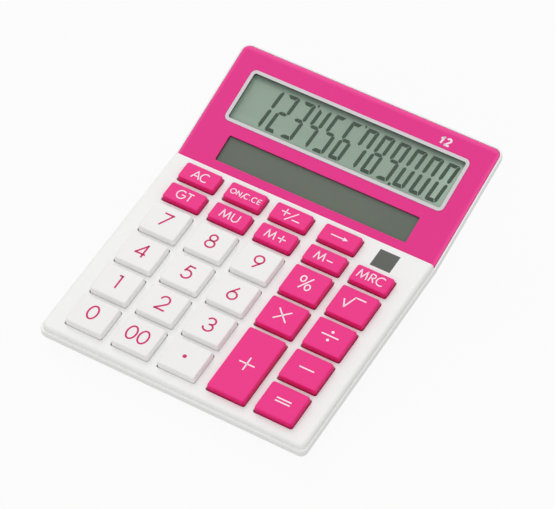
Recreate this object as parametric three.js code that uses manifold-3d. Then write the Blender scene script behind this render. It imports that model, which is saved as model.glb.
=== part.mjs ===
// A slim desk calculator: a white keypad deck and a glossy display panel, tilted towards the user,
// let into the rim of a tray-shaped rear case that stands on a narrower wedge-shaped base.
// Millimetres, +Z up, +Y away from the user. The origin is the middle of the footprint on the desk.
//
// Two tilted planes carry everything that is seen from above:
//   keypad plane   y runs from the bend line (0) down to the front edge (negative), z is up out of the deck
//   display plane  y runs from the bend line (0) up to the rear edge (positive), z is up out of the cover
// The skin of the deck passes through the bend line, and that of the cover lies HEAD_DROP below it,
// so that the rear edge of the deck stands proud of the cover.
import * as THREE from "three";
import { LoftGeometry } from "three/addons/geometries/LoftGeometry.js";
import { mergeVertices } from "three/addons/utils/BufferGeometryUtils.js";
import Module from "manifold-3d";

const wasm = await Module();
wasm.setup();

// ---- driving dimensions -------------------------------------------------------------------------

const CASE_WIDTH = 107.5;
const KEYPAD_LENGTH = 88.4;
const HEAD_LENGTH = 50.6;
const KEYPAD_SLOPE = THREE.MathUtils.degToRad(6.5);
const HEAD_TILT = THREE.MathUtils.degToRad(12.7);
const HEAD_DROP = 1.75;
const BEND_HEIGHT = 19.1;
const CORNER_RADIUS = 3.5;

const FIT_GAP = 0.3;
const UPPER_INSET = { side: 0.75, front: 1 };
const PLATE = 1.5;
const EDGE_RADIUS = 1.2;
const SKIRT_DEPTH = 3.3;
const RIM = { depth: 2.1, width: 0.5, softening: 0.2 };
const SLAB_DEPTH = 7.2;
const SLAB_ROUNDING = 3.5;
const TRAY_WALL = 2.2;
const FLOOR = 1.6;

const COLUMNS = 5;
const OPERATOR_COLUMN = 3;
const COLUMN_PITCH = 18.87;
const BLOCK_GAP = 1.02;
const ROW_PITCH = 15.45;
const KEY_WIDTH = 15.18;
const KEY_DEPTH = 13.2;
const SMALL_KEY_DEPTH = 7.76;
const FRONT_MARGIN = 5.6;
const SMALL_ROWS_START = 61.95;
const SMALL_ROW_PITCH = 10.24;
const KEY_HEIGHT = 2.38;
const SMALL_KEY_HEIGHT = 2.2;
const KEY_SOFTENING = 0.4;
const KEY_DRAFT = 0.24;
const KEY_CORNER = 1.1;
const KEY_GAP = 0.35;
const KEY_TRAVEL = 1.2;
const CATCH_REACH = 0.6;
const PLUNGER_RADIUS = 1.6;

const FRAME = { halfWidth: 45.09, front: 19.52, back: 41.9, corner: 2.2 };
const FRAME_RIM = 1.35;
const FRAME_PROUD = 0.15;
const SOLAR = { halfWidth: 39.23, front: 3.96, back: 14.66, corner: 1.2 };

const BASE = { halfWidth: 38, front: -79, back: 36, corner: 9 };
const FOOT_DEPTH = 0.8;
const SIDE_DRAFT = Math.tan(THREE.MathUtils.degToRad(12));
const REAR_DRAFT = Math.tan(THREE.MathUtils.degToRad(15));

const CELL_RADIUS = 5.8;
const CELL_HEIGHT = 3.05;
const CELL_Y = 23;
const COVER = { halfWidth: 10, front: 12, tongue: 1.2 };

const CASE_SCREW = { headRadius: 1.9, headHeight: 1.2, shankRadius: 0.9, length: 3.8 };
const BOARD_SCREW = { headRadius: 1.7, headHeight: 0.8, shankRadius: 0.8, length: 3.4 };
const POST_RADIUS = 1.7;
const SCREW_SIDE = 48.1;

// Heights in the keypad plane, measured down from the outer skin of the deck.
const FLANGE_TOP = -PLATE - FIT_GAP;
const FLANGE_BOTTOM = FLANGE_TOP - 0.6;
const DOME_TOP = FLANGE_BOTTOM - FIT_GAP;
const MAT_TOP = FLANGE_BOTTOM - KEY_TRAVEL - 0.1;
const MAT_BOTTOM = MAT_TOP - 0.5;
const BOARD_TOP = MAT_BOTTOM - FIT_GAP;
const BOARD_BOTTOM = BOARD_TOP - 0.8;
const TRAY_FLOOR = FLOOR - SLAB_DEPTH;

// The deck's wall along the bend.
const REAR_WALL = 1.6;
const REAR_WALL_BOTTOM = -2.6;

// ---- finishes -----------------------------------------------------------------------------------

function finish(color, roughness, metalness = 0) {
  return new THREE.MeshStandardMaterial({ color, roughness, metalness });
}

const WHITE_CASE = finish(0xf0f1ef, 0.45);
const WHITE_KEY = finish(0xf1f1ee, 0.4);
const PINK_KEY = finish(0xee448c, 0.4);
const PINK_GLOSS = finish(0xe34090, 0.12);
const SILVER_TRIM = finish(0xd5c9d0, 0.3);
const CLEAR_WINDOW = finish(0xdfe5e2, 0.05);
const LCD_GREY = finish(0x91a194, 0.25);
const SOLAR_DARK = finish(0x687166, 0.2);
const BOARD_GREEN = finish(0x2f6b45, 0.6);
const CHIP_BLACK = finish(0x1b1b1d, 0.5);
const RIBBON_AMBER = finish(0xb98a3c, 0.5);
const MAT_RUBBER = finish(0xd8d8d4, 0.8);
const FOOT_RUBBER = finish(0x3a3a3c, 0.9);
const STEEL = finish(0xc4c6c8, 0.3, 1);

// ---- solids -------------------------------------------------------------------------------------

function toSolid(geometry) {
  const bare = new THREE.BufferGeometry().copy(geometry);
  bare.deleteAttribute("normal");
  bare.deleteAttribute("uv");
  const merged = mergeVertices(bare, 1e-4);
  const vertProperties = new Float32Array(merged.attributes.position.array);
  const triVerts = new Uint32Array(merged.index.array);
  return new wasm.Manifold(new wasm.Mesh({ numProp: 3, vertProperties, triVerts }));
}

function toGeometry(solid) {
  const { vertProperties, triVerts } = solid.getMesh();
  const geometry = new THREE.BufferGeometry();
  geometry.setAttribute("position", new THREE.BufferAttribute(vertProperties, 3));
  geometry.setIndex(new THREE.BufferAttribute(triVerts, 1));
  geometry.computeVertexNormals();
  return geometry;
}

function joined(solids) {
  return solids.reduce((whole, solid) => whole.add(solid));
}

function cutBy(solid, tools) {
  return tools.reduce((rest, tool) => rest.subtract(tool), solid);
}

// A level ring with rounded corners, between y = front and y = back.
function ring({ halfWidth, front, back, corner }, inset, z, steps) {
  const radius = Math.max(corner - inset, 0.3);
  const x = halfWidth - inset - radius;
  const centres = [
    [x, back - inset - radius],
    [-x, back - inset - radius],
    [-x, front + inset + radius],
    [x, front + inset + radius],
  ];
  return centres.flatMap(([cx, cy], quarter) =>
    Array.from({ length: steps + 1 }, (_, i) => {
      const angle = (quarter + i / steps) * (Math.PI / 2);
      return new THREE.Vector3(cx + radius * Math.cos(angle), cy + radius * Math.sin(angle), z);
    })
  );
}

// A solid skinned over one outline, inset by a different amount at each height, lowest first.
function stack(outline, levels, steps = 3) {
  const sections = levels.map(([inset, z]) => ring(outline, inset, z, steps));
  return toSolid(new LoftGeometry(sections, { capStart: true, capEnd: true }));
}

function block(halfWidth, front, back, bottom, top) {
  const geometry = new THREE.BoxGeometry(2 * halfWidth, back - front, top - bottom);
  return toSolid(geometry.translate(0, (front + back) / 2, (bottom + top) / 2));
}

function disc(radius, bottom, top, sides = 16) {
  const geometry = new THREE.CylinderGeometry(radius, radius, top - bottom, sides);
  return toSolid(geometry.rotateX(Math.PI / 2).translate(0, 0, (bottom + top) / 2));
}

function moved(solid, x, y, z = 0) {
  return solid.translate([x, y, z]);
}

function transformed(solid, matrix) {
  return toSolid(toGeometry(solid).applyMatrix4(matrix));
}

// Turns a solid drawn on the keypad or the display plane into the case's own upright frame.
function onPlane(solid, slope) {
  const turn = new THREE.Matrix4().makeRotationX(slope);
  return transformed(solid, turn.setPosition(0, 0, BEND_HEIGHT));
}

// A point of the side view: distance along from the bend line, height over the two planes through it.
function sidePoint(along, height) {
  const slope = along <= 0 ? KEYPAD_SLOPE : KEYPAD_SLOPE + HEAD_TILT;
  const y = along === 0 ? -height * Math.tan(HEAD_TILT / 2) : along;
  return new THREE.Vector2(
    y * Math.cos(slope) - height * Math.sin(slope),
    y * Math.sin(slope) + height * Math.cos(slope) + BEND_HEIGHT
  );
}

// A side view swept across the case, from x = left to x = right.
function sweptAcross(points, left, right) {
  const shape = new THREE.Shape(points);
  const geometry = new THREE.ExtrudeGeometry(shape, { depth: right - left, bevelEnabled: false });
  const across = new THREE.Matrix4().makeBasis(
    new THREE.Vector3(0, 1, 0),
    new THREE.Vector3(0, 0, 1),
    new THREE.Vector3(1, 0, 0)
  );
  return toSolid(geometry.applyMatrix4(across).translate(left, 0, 0));
}

// Everything below a surface that runs parallel to the skin at the given height.
function belowSkin(height, halfWidth) {
  const front = sidePoint(-KEYPAD_LENGTH, height);
  const back = sidePoint(HEAD_LENGTH, height);
  const profile = [
    new THREE.Vector2(front.x, -1),
    new THREE.Vector2(back.x, -1),
    back,
    sidePoint(0, height),
    front,
  ];
  return sweptAcross(profile, -halfWidth, halfWidth);
}

// Keeps the part of a plane's solid that lies on its own side of the mitre through the bend line,
// which runs at the given height over the plane.
function mitred(solid, side, gap, height = 0) {
  const reach = 150;
  const keep = new THREE.BoxGeometry(2 * reach, reach, reach);
  keep.translate(0, side * (reach / 2 + gap), 0);
  keep.rotateX((-side * HEAD_TILT) / 2);
  keep.translate(0, 0, height);
  return solid.intersect(toSolid(keep));
}

// ---- the key field ------------------------------------------------------------------------------

const ROWS = ["row_1", "row_2", "row_3", "row_4", "small_1", "small_2"];

const KEYS = [
  { name: "key_0", column: 0, row: "row_1" },
  { name: "key_00", column: 1, row: "row_1" },
  { name: "key_point", column: 2, row: "row_1" },
  { name: "key_plus", column: 3, row: "row_1", pink: true, tall: true },
  { name: "key_equals", column: 4, row: "row_1", pink: true },
  { name: "key_1", column: 0, row: "row_2" },
  { name: "key_2", column: 1, row: "row_2" },
  { name: "key_3", column: 2, row: "row_2" },
  { name: "key_minus", column: 4, row: "row_2", pink: true },
  { name: "key_4", column: 0, row: "row_3" },
  { name: "key_5", column: 1, row: "row_3" },
  { name: "key_6", column: 2, row: "row_3" },
  { name: "key_multiply", column: 3, row: "row_3", pink: true },
  { name: "key_divide", column: 4, row: "row_3", pink: true },
  { name: "key_7", column: 0, row: "row_4" },
  { name: "key_8", column: 1, row: "row_4" },
  { name: "key_9", column: 2, row: "row_4" },
  { name: "key_percent", column: 3, row: "row_4", pink: true },
  { name: "key_root", column: 4, row: "row_4", pink: true },
  { name: "key_gt", column: 0, row: "small_1", pink: true },
  { name: "key_mu", column: 1, row: "small_1", pink: true },
  { name: "key_m_plus", column: 2, row: "small_1", pink: true },
  { name: "key_m_minus", column: 3, row: "small_1", pink: true },
  { name: "key_mrc", column: 4, row: "small_1", pink: true },
  { name: "key_ac", column: 0, row: "small_2", pink: true },
  { name: "key_on_c_ce", column: 1, row: "small_2", pink: true },
  { name: "key_sign", column: 2, row: "small_2", pink: true },
  { name: "key_arrow", column: 3, row: "small_2", pink: true },
];

// The middle of a column: the digits and the operators stand in two blocks, a little apart.
function columnMiddle(column) {
  const side = column < OPERATOR_COLUMN ? -1 : 1;
  return (column - (COLUMNS - 1) / 2) * COLUMN_PITCH + (side * BLOCK_GAP) / 2;
}

// The middle, the depth and the height of a key on the keypad plane.
function keyPlace({ column, row, tall }) {
  const rank = ROWS.indexOf(row);
  const small = row.startsWith("small");
  const start = small ? SMALL_ROWS_START + (rank - 4) * SMALL_ROW_PITCH : rank * ROW_PITCH;
  const plainDepth = small ? SMALL_KEY_DEPTH : KEY_DEPTH;
  const depth = tall ? plainDepth + ROW_PITCH : plainDepth;
  const y = FRONT_MARGIN - KEYPAD_LENGTH + start + depth / 2;
  return { x: columnMiddle(column), y, depth, height: small ? SMALL_KEY_HEIGHT : KEY_HEIGHT };
}

function keyOutline(depth, grow = 0) {
  return {
    halfWidth: KEY_WIDTH / 2 + grow,
    front: -depth / 2 - grow,
    back: depth / 2 + grow,
    corner: KEY_CORNER + grow,
  };
}

// A hollow cap with drafted sides and a softened top edge, a catch along its front and back edges
// that stops it under the deck, and a plunger that stands on the rubber dome below it.
function keyCap(depth, height) {
  const wall = 1.2;
  const shell = stack(keyOutline(depth), [
    [0, FLANGE_BOTTOM],
    [0, 0],
    [KEY_DRAFT, height - KEY_SOFTENING],
    [KEY_DRAFT + KEY_SOFTENING, height],
  ], 2);
  const reach = depth / 2 + CATCH_REACH;
  const catches = block(KEY_WIDTH / 2 - KEY_CORNER, -reach, reach, FLANGE_BOTTOM, FLANGE_TOP);
  const hollow = block(
    KEY_WIDTH / 2 - wall,
    wall - depth / 2,
    depth / 2 - wall,
    FLANGE_BOTTOM - 1,
    height - wall
  );
  const plunger = disc(PLUNGER_RADIUS, FLANGE_BOTTOM, height - wall / 2, 8);
  return shell.add(catches).subtract(hollow).add(plunger);
}

// ---- upper case ---------------------------------------------------------------------------------

const SCREW_PLACES = {
  keypad: [-KEYPAD_LENGTH + 4.6, FRONT_MARGIN - KEYPAD_LENGTH + SMALL_ROWS_START - 1.2],
  display: [HEAD_LENGTH - 5.2],
};

// The board's screws stand between the corners of four keys.
const BOARD_SCREW_SIDE = 1.5 * COLUMN_PITCH + BLOCK_GAP / 2;
const BOARD_SCREWS = [-53, -11.8].flatMap((y) => [[-BOARD_SCREW_SIDE, y], [BOARD_SCREW_SIDE, y]]);

// Tops of the tray's screw seats and depths of their counterbores. Each upper post ends just above its seat.
const KEYPAD_SEAT = { top: -4, counterbore: 2.2 };
const DISPLAY_SEAT = { top: -4.7, counterbore: 1.9 };

// The outline of deck or cover, which stands inside the rim of the tray.
function upperOutline(front, back) {
  const corner = CORNER_RADIUS - UPPER_INSET.side;
  return { halfWidth: CASE_WIDTH / 2 - UPPER_INSET.side, front, back, corner };
}

// Levels of an edge rounded by a quarter circle, from the side wall up to the top at height 0.
function roundedEdge(radius, steps) {
  return Array.from({ length: steps + 1 }, (_, i) => {
    const angle = (i / steps) * (Math.PI / 2);
    return [radius * (1 - Math.cos(angle)), radius * (Math.sin(angle) - 1)];
  });
}

// Round posts under a plate, and the blind pilot holes in them for the screws.
function posts(places, bottom) {
  const post = disc(POST_RADIUS, bottom, -PLATE + 0.2, 8);
  return places.map(([x, y]) => moved(post, x, y));
}

function pilotHoles(places, bottom, { shankRadius }) {
  const pilot = disc(shankRadius + FIT_GAP, bottom - 1, 0.5 - PLATE, 8);
  return places.map(([x, y]) => moved(pilot, x, y));
}

function bothSides(ys) {
  return ys.flatMap((y) => [[-SCREW_SIDE, y], [SCREW_SIDE, y]]);
}

// A plate with rounded edges, a skirt that stands inside the tray's rim, and a wall along the bend.
function deckShell() {
  const outline = upperOutline(UPPER_INSET.front - KEYPAD_LENGTH, 3 * CORNER_RADIUS);
  const outer = stack(outline, [[0, -SKIRT_DEPTH], ...roundedEdge(EDGE_RADIUS, 4)]);
  const skirt = 1.3;
  const back = skirt - REAR_WALL;
  const pocket = stack({ ...outline, back }, [[skirt, -SKIRT_DEPTH - 1], [skirt, -PLATE]], 1);
  const reach = 5;
  const underWall = block(outline.halfWidth - skirt, -reach, reach, -SKIRT_DEPTH - 1, REAR_WALL_BOTTOM);
  return mitred(cutBy(outer, [pocket, underWall]), -1, FIT_GAP / 2);
}

function keypadDeck() {
  const openings = KEYS.map((key) => {
    const { x, y, depth } = keyPlace(key);
    const opening = stack(keyOutline(depth, KEY_GAP), [[0, -PLATE - 1], [0, 1]], 2);
    return moved(opening, x, y);
  });
  const casePlaces = bothSides(SCREW_PLACES.keypad);
  const caseBottom = KEYPAD_SEAT.top + FIT_GAP;
  const boardBottom = BOARD_TOP + FIT_GAP;
  const allPosts = [...posts(casePlaces, caseBottom), ...posts(BOARD_SCREWS, boardBottom)];
  return cutBy(joined([deckShell(), ...allPosts]), [
    ...openings,
    ...pilotHoles(casePlaces, caseBottom, CASE_SCREW),
    ...pilotHoles(BOARD_SCREWS, boardBottom, BOARD_SCREW),
  ]);
}

// Three hooks on the cover's lower edge that reach under the rear wall of the keypad deck.
function deckHooks() {
  const top = REAR_WALL_BOTTOM - FIT_GAP;
  const hook = { halfWidth: 6, thickness: 0.8, front: -REAR_WALL - FIT_GAP, back: 1.6, spread: 36 };
  const reach = block(hook.halfWidth, hook.front, hook.back, top - hook.thickness, top);
  const turn = new THREE.Matrix4().makeRotationX(-HEAD_TILT).setPosition(0, 0, HEAD_DROP);
  const root = block(hook.halfWidth, 0.5, hook.back, HEAD_DROP + top - hook.thickness, -PLATE + 0.3);
  return [-hook.spread, 0, hook.spread].map((x) => moved(transformed(reach, turn).add(root), x, 0));
}

// A low wall under the cover that locates a panel laid in from below.
function cradle(panel) {
  const wall = 1;
  const bottom = -2.6;
  const outer = stack(grown(panel, FIT_GAP + wall), [[0, bottom], [0, -PLATE + 0.2]], 1);
  return outer.subtract(stack(grown(panel, FIT_GAP), [[0, bottom - 1], [0, 0]], 1));
}

const LCD = { halfWidth: 46.4, front: 18.3, back: 43.1, corner: 0.6 };
const LCD_TOP = -1.7;
const LCD_BOTTOM = -3.1;
const GLASS = 0.75;
const SOLAR_PANEL = { halfWidth: 40.4, front: 2.8, back: 15.8, corner: 0.6 };
const SOLAR_TOP = -0.9;
const WINDOW = { top: -0.4, bottom: -1 };

function grown(outline, by) {
  return {
    halfWidth: outline.halfWidth + by,
    front: outline.front - by,
    back: outline.back + by,
    corner: outline.corner + by,
  };
}

// A flat plate with crisp edges, which fills the rim of the tray above the bend.
function displayCover() {
  const outline = upperOutline(-3 * CORNER_RADIUS, HEAD_LENGTH - UPPER_INSET.side);
  const plate = stack(outline, [[0, -PLATE], [0, -0.15], [0.15, 0]]);
  const openings = [
    stack(grown(FRAME, FIT_GAP), [[0, -PLATE - 1], [0, 1]]),
    stack(SOLAR, [[0, -PLATE - 1], [0, 1]], 2),
    stack(grown(SOLAR_PANEL, FIT_GAP), [[0, -PLATE - 1], [0, SOLAR_TOP + FIT_GAP]], 1),
  ];
  const places = bothSides(SCREW_PLACES.display);
  const postBottom = DISPLAY_SEAT.top + FIT_GAP + HEAD_DROP;
  const cradles = [cradle(LCD), cradle(SOLAR_PANEL)];
  const body = mitred(plate, 1, FIT_GAP / 2, HEAD_DROP);
  const cover = joined([body, ...deckHooks(), ...cradles, ...posts(places, postBottom)]);
  return cutBy(cover, [...openings, ...pilotHoles(places, postBottom, CASE_SCREW)]);
}

// ---- display ------------------------------------------------------------------------------------

// A bright ring let into the cover: a slightly proud rim, and a thinner skirt that holds the window.
function lcdFrame() {
  const skirt = 0.6;
  const outer = stack(FRAME, [
    [0, LCD_TOP + FIT_GAP],
    [0, 0],
    [0.15, FRAME_PROUD],
  ]);
  const opening = stack(FRAME, [[FRAME_RIM, -3], [FRAME_RIM, 0], [FRAME_RIM - 0.2, 1]]);
  const windowSeat = stack(FRAME, [[skirt, -3], [skirt, WINDOW.top + FIT_GAP]]);
  return outer.subtract(opening).subtract(windowSeat);
}

function lcdWindow() {
  const inset = 0.6 + FIT_GAP;
  return stack(FRAME, [[inset, WINDOW.bottom], [inset, WINDOW.top]], 2);
}

// Two panes of glass: the lower one is longer, so that its edge carries the contacts.
function lcdPanel() {
  const contactEdge = 1.6;
  const lower = stack(LCD, [[0, LCD_BOTTOM], [0, LCD_BOTTOM + GLASS]], 1);
  const upper = stack({ ...LCD, front: LCD.front + contactEdge }, [[0, LCD_TOP - GLASS], [0, LCD_TOP]], 1);
  return lower.add(upper);
}

// A flat flexible cable from the contacts of the display, over the bend, to the circuit board.
function lcdRibbon() {
  const thickness = 0.2;
  const displaySide = LCD_BOTTOM - HEAD_DROP - FIT_GAP;
  const boardSide = BOARD_TOP + FIT_GAP + thickness;
  const route = [[-3.2, boardSide], [-0.5, boardSide], [5, displaySide], [21, displaySide]];
  const over = route.map(([along, top]) => sidePoint(along, top));
  const under = route.map(([along, top]) => sidePoint(along, top - thickness));
  return sweptAcross([...under, ...over.reverse()], -30, 30);
}

function solarPanel() {
  return stack(SOLAR_PANEL, [[0, SOLAR_TOP - GLASS], [0, SOLAR_TOP]], 1);
}

// ---- inside the keypad --------------------------------------------------------------------------

const INNER = { halfWidth: 45.3, front: -KEYPAD_LENGTH + 3.9, back: -0.9, corner: 2 };

// One moulded sheet with a small dome under every key, and holes for the posts.
function rubberKeypad() {
  const sheet = stack({ ...INNER, back: -4.2 }, [[0, MAT_BOTTOM], [0, MAT_TOP]], 1);
  const dome = new THREE.CylinderGeometry(1.7, 2.9, DOME_TOP - MAT_TOP + 0.2, 6);
  dome.rotateX(Math.PI / 2).translate(0, 0, (DOME_TOP + MAT_TOP - 0.2) / 2);
  const domes = KEYS.map((key) => {
    const { x, y } = keyPlace(key);
    return moved(toSolid(dome), x, y);
  });
  const hole = disc(POST_RADIUS + FIT_GAP, MAT_BOTTOM - 1, MAT_TOP + 1, 8);
  const holes = BOARD_SCREWS.map(([x, y]) => moved(hole, x, y));
  return cutBy(joined([sheet, ...domes]), holes);
}

function circuitBoard() {
  const board = stack(INNER, [[0, BOARD_BOTTOM], [0, BOARD_TOP]], 1);
  const hole = disc(BOARD_SCREW.shankRadius + FIT_GAP, BOARD_BOTTOM - 1, BOARD_TOP + 1, 8);
  return cutBy(board, BOARD_SCREWS.map(([x, y]) => moved(hole, x, y)));
}

// The bare chip under its round blob of resin, on the back of the board.
function chip() {
  const top = BOARD_BOTTOM - FIT_GAP;
  const blob = new THREE.CylinderGeometry(5, 3, 1.4, 14);
  return toSolid(blob.rotateX(Math.PI / 2).translate(0, 0, top - 0.7));
}

// ---- rear case ----------------------------------------------------------------------------------

// Side wall of the tray, from its rounded lower edge up to the rim round deck and cover, and the
// shelf inside the rim that they stand over.
function trayLevels() {
  const rounding = roundedEdge(SLAB_ROUNDING, 5).reverse();
  const shelf = -SKIRT_DEPTH - FIT_GAP;
  return [
    ...rounding.map(([inset, height]) => [inset, -SLAB_DEPTH - height]),
    [0, -RIM.depth - RIM.softening],
    [RIM.softening, -RIM.depth],
    [RIM.width, -RIM.depth],
    [RIM.width, shelf],
    [TRAY_WALL, shelf],
  ];
}

function trayHalf(front, back, side, slope) {
  const outline = { halfWidth: CASE_WIDTH / 2, front, back, corner: CORNER_RADIUS };
  const hollow = [[TRAY_WALL, TRAY_FLOOR], [TRAY_WALL, 0]];
  const overlap = -0.02;
  return {
    outer: onPlane(mitred(stack(outline, trayLevels()), side, overlap), slope),
    inner: onPlane(mitred(stack(outline, hollow), side, overlap), slope),
  };
}

// The wedge under the tray: drafted walls from the desk up to the underside of the tray.
function wedge(inset, bottom, skinHeight) {
  const top = 32;
  const softening = 0.6;
  const rise = top - FOOT_DEPTH;
  const sections = [[softening, bottom], [0, bottom + softening], [0, top]].map(([soften, z]) => {
    const height = z === top ? rise : z - bottom;
    const outline = {
      ...BASE,
      halfWidth: BASE.halfWidth + height * SIDE_DRAFT,
      back: BASE.back + height * REAR_DRAFT,
    };
    return ring(outline, inset + soften, z, 3);
  });
  const body = toSolid(new LoftGeometry(sections, { capStart: true, capEnd: true }));
  return body.intersect(belowSkin(skinHeight, CASE_WIDTH / 2 - 4));
}

// Thin upright walls on the floor of the wedge that carry the circuit board.
function boardRibs() {
  const halfThickness = 0.6;
  const foot = 1.2;
  const above = 30;
  const lengthways = [-COLUMN_PITCH, COLUMN_PITCH].map((x) => {
    return moved(block(halfThickness, BASE.front + 1, -4, foot, above), x, 0);
  });
  const crossways = [-62, -44, -26].map((y) => {
    return block(BASE.halfWidth, y - halfThickness, y + halfThickness, foot, above);
  });
  return joined([...lengthways, ...crossways]).intersect(belowSkin(TRAY_FLOOR, CASE_WIDTH / 2 - 4));
}

const CHANNEL_ROOF = 3;
const CELL_BOTTOM = CHANNEL_ROOF + FIT_GAP;
const CELL_TOP = CELL_BOTTOM + CELL_HEIGHT;
const CONTACT_PLUS_X = CELL_RADIUS + 0.75;
const CONTACT_MINUS_X = -2;
const CONTACT = { halfThickness: 0.15, halfWidth: 1.3, top: CELL_TOP + 5 };

// The block round the button cell, and the channel under it that the battery cover slides in.
function batteryBay() {
  const wall = 2.2;
  const slot = { halfWidth: 0.6, halfDepth: 1.6, top: CELL_TOP + 3 };
  const walls = block(COVER.halfWidth + 3.5, COVER.front - 2, BASE.back + 0.4, 1.2, CHANNEL_ROOF + 1.2);
  const tower = moved(disc(CELL_RADIUS + wall, 2, CELL_TOP + wall, 16), 0, CELL_Y);
  const plusSlot = block(slot.halfWidth, -slot.halfDepth, slot.halfDepth, CHANNEL_ROOF - 1, slot.top);
  const minusSlot = block(slot.halfWidth, -slot.halfDepth, slot.halfDepth, CELL_TOP, slot.top);
  const far = BASE.back + 8;
  return {
    walls: [walls, tower],
    cuts: [
      block(COVER.halfWidth + FIT_GAP, COVER.front - FIT_GAP, far, -1, 2),
      block(
        COVER.halfWidth + COVER.tongue + FIT_GAP,
        COVER.front - FIT_GAP,
        far,
        FOOT_DEPTH + 0.8,
        CHANNEL_ROOF
      ),
      moved(disc(CELL_RADIUS + FIT_GAP, CHANNEL_ROOF - 1, CELL_TOP + 0.9, 16), 0, CELL_Y),
      moved(plusSlot, CONTACT_PLUS_X, CELL_Y),
      moved(minusSlot, CONTACT_MINUS_X, CELL_Y),
    ],
  };
}

// Posts in the tray, counterbored from below for the heads of the case screws.
function screwSeats(slope, ys, { top, counterbore: depth }) {
  const seat = disc(2.5, -SLAB_DEPTH + 0.4, top, 12);
  const bore = disc(CASE_SCREW.shankRadius + FIT_GAP, -SLAB_DEPTH - 1, 0, 8);
  const counterbore = disc(CASE_SCREW.headRadius + FIT_GAP, -SLAB_DEPTH - 1, -SLAB_DEPTH + depth, 12);
  return bothSides(ys).map(([x, y]) => ({
    seat: onPlane(moved(seat, x, y), slope),
    cut: onPlane(moved(bore.add(counterbore), x, y), slope),
  }));
}

const FEET = [-68, 24].flatMap((y) => [[-31, y], [31, y]]);
const FOOT_RADIUS = 4;

function rearCase() {
  const keypad = trayHalf(-KEYPAD_LENGTH, 3 * CORNER_RADIUS, -1, KEYPAD_SLOPE);
  const head = trayHalf(-3 * CORNER_RADIUS, HEAD_LENGTH, 1, KEYPAD_SLOPE + HEAD_TILT);
  const bay = batteryBay();
  const seats = [
    ...screwSeats(KEYPAD_SLOPE, SCREW_PLACES.keypad, KEYPAD_SEAT),
    ...screwSeats(KEYPAD_SLOPE + HEAD_TILT, SCREW_PLACES.display, DISPLAY_SEAT),
  ];
  const footHole = disc(FOOT_RADIUS + FIT_GAP, -1, FOOT_DEPTH + 0.8, 16);
  const hollow = [
    keypad.inner,
    head.inner,
    wedge(FLOOR, FOOT_DEPTH + FLOOR, TRAY_FLOOR + 0.5),
  ];
  const shell = cutBy(joined([keypad.outer, head.outer, wedge(0, FOOT_DEPTH, TRAY_FLOOR - 0.4)]), hollow);
  const fittings = [boardRibs(), ...bay.walls, ...seats.map(({ seat }) => seat)];
  return cutBy(joined([shell, ...fittings]), [
    ...bay.cuts,
    ...seats.map(({ cut }) => cut),
    ...FEET.map(([x, y]) => moved(footHole, x, y)),
  ]);
}

// A plate that closes the bay, with a tongue along each side and three grip grooves.
function batteryCover() {
  const back = BASE.back - 0.2;
  const plate = block(COVER.halfWidth, COVER.front, back, FOOT_DEPTH, 2);
  const tongues = block(COVER.halfWidth + COVER.tongue, COVER.front, back, 1.9, 2.7);
  const grooves = [0, 1, 2].map((i) => block(5, back - 4 - 2 * i, back - 3 - 2 * i, 0, FOOT_DEPTH + 0.4));
  return cutBy(plate.add(tongues), grooves);
}

function buttonCell() {
  const outline = [[0, 0], [CELL_RADIUS - 0.6, 0], [CELL_RADIUS - 0.6, 0.3], [CELL_RADIUS, 0.5],
    [CELL_RADIUS, CELL_HEIGHT - 0.2], [CELL_RADIUS - 0.2, CELL_HEIGHT], [0, CELL_HEIGHT]];
  const profile = outline.map(([radius, height]) => new THREE.Vector2(radius, height));
  return toSolid(new THREE.LatheGeometry(profile, 16).rotateX(Math.PI / 2));
}

// A leaf over the cell with a tail that rises through the roof of the bay.
function contactMinus() {
  const { halfThickness, halfWidth, top } = CONTACT;
  const leaf = block(3.5, -halfWidth, halfWidth, CELL_TOP + FIT_GAP, CELL_TOP + 0.55);
  const tail = block(halfThickness, -halfWidth, halfWidth, CELL_TOP + FIT_GAP, top);
  return leaf.add(moved(tail, CONTACT_MINUS_X, 0));
}

// An upright strip that bears on the rim of the cell.
function contactPlus() {
  const { halfThickness, halfWidth, top } = CONTACT;
  return moved(block(halfThickness, -halfWidth, halfWidth, CELL_BOTTOM, top), CONTACT_PLUS_X, 0);
}

// ---- fasteners and feet -------------------------------------------------------------------------

// Pan head with a cross recess, head down, shank up.
function screw({ headRadius, headHeight, shankRadius, length }) {
  const outline = [[0, 0], [headRadius * 0.7, 0], [headRadius, headHeight * 0.5], [headRadius, headHeight],
    [shankRadius, headHeight], [shankRadius, length - 0.6], [0.3, length], [0, length]];
  const profile = outline.map(([radius, height]) => new THREE.Vector2(radius, height));
  const body = toSolid(new THREE.LatheGeometry(profile, 10).rotateX(Math.PI / 2));
  const slot = block(headRadius * 0.55, -0.2, 0.2, -1, headHeight * 0.5);
  const crossSlot = block(0.2, -headRadius * 0.55, headRadius * 0.55, -1, headHeight * 0.5);
  return body.subtract(slot.add(crossSlot));
}

function foot() {
  const outline = [[0, 0], [FOOT_RADIUS - 0.4, 0], [FOOT_RADIUS, 0.4], [FOOT_RADIUS, 1.3], [0, 1.3]];
  const profile = outline.map(([radius, height]) => new THREE.Vector2(radius, height));
  return toSolid(new THREE.LatheGeometry(profile, 16).rotateX(Math.PI / 2));
}

// ---- assembly -----------------------------------------------------------------------------------

const calculator = new THREE.Group();

function place(parent, name, solid, material, x = 0, y = 0, z = 0) {
  const mesh = new THREE.Mesh(toGeometry(solid), material);
  mesh.name = name;
  mesh.position.set(x, y, z);
  parent.add(mesh);
}

// A group whose z = 0 is a tilted plane that lies the given distance below the bend line.
function tiltedPlane(slope, drop) {
  const plane = new THREE.Group();
  plane.position.set(0, drop * Math.sin(slope), BEND_HEIGHT - drop * Math.cos(slope));
  plane.rotation.x = slope;
  calculator.add(plane);
  return plane;
}

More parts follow.
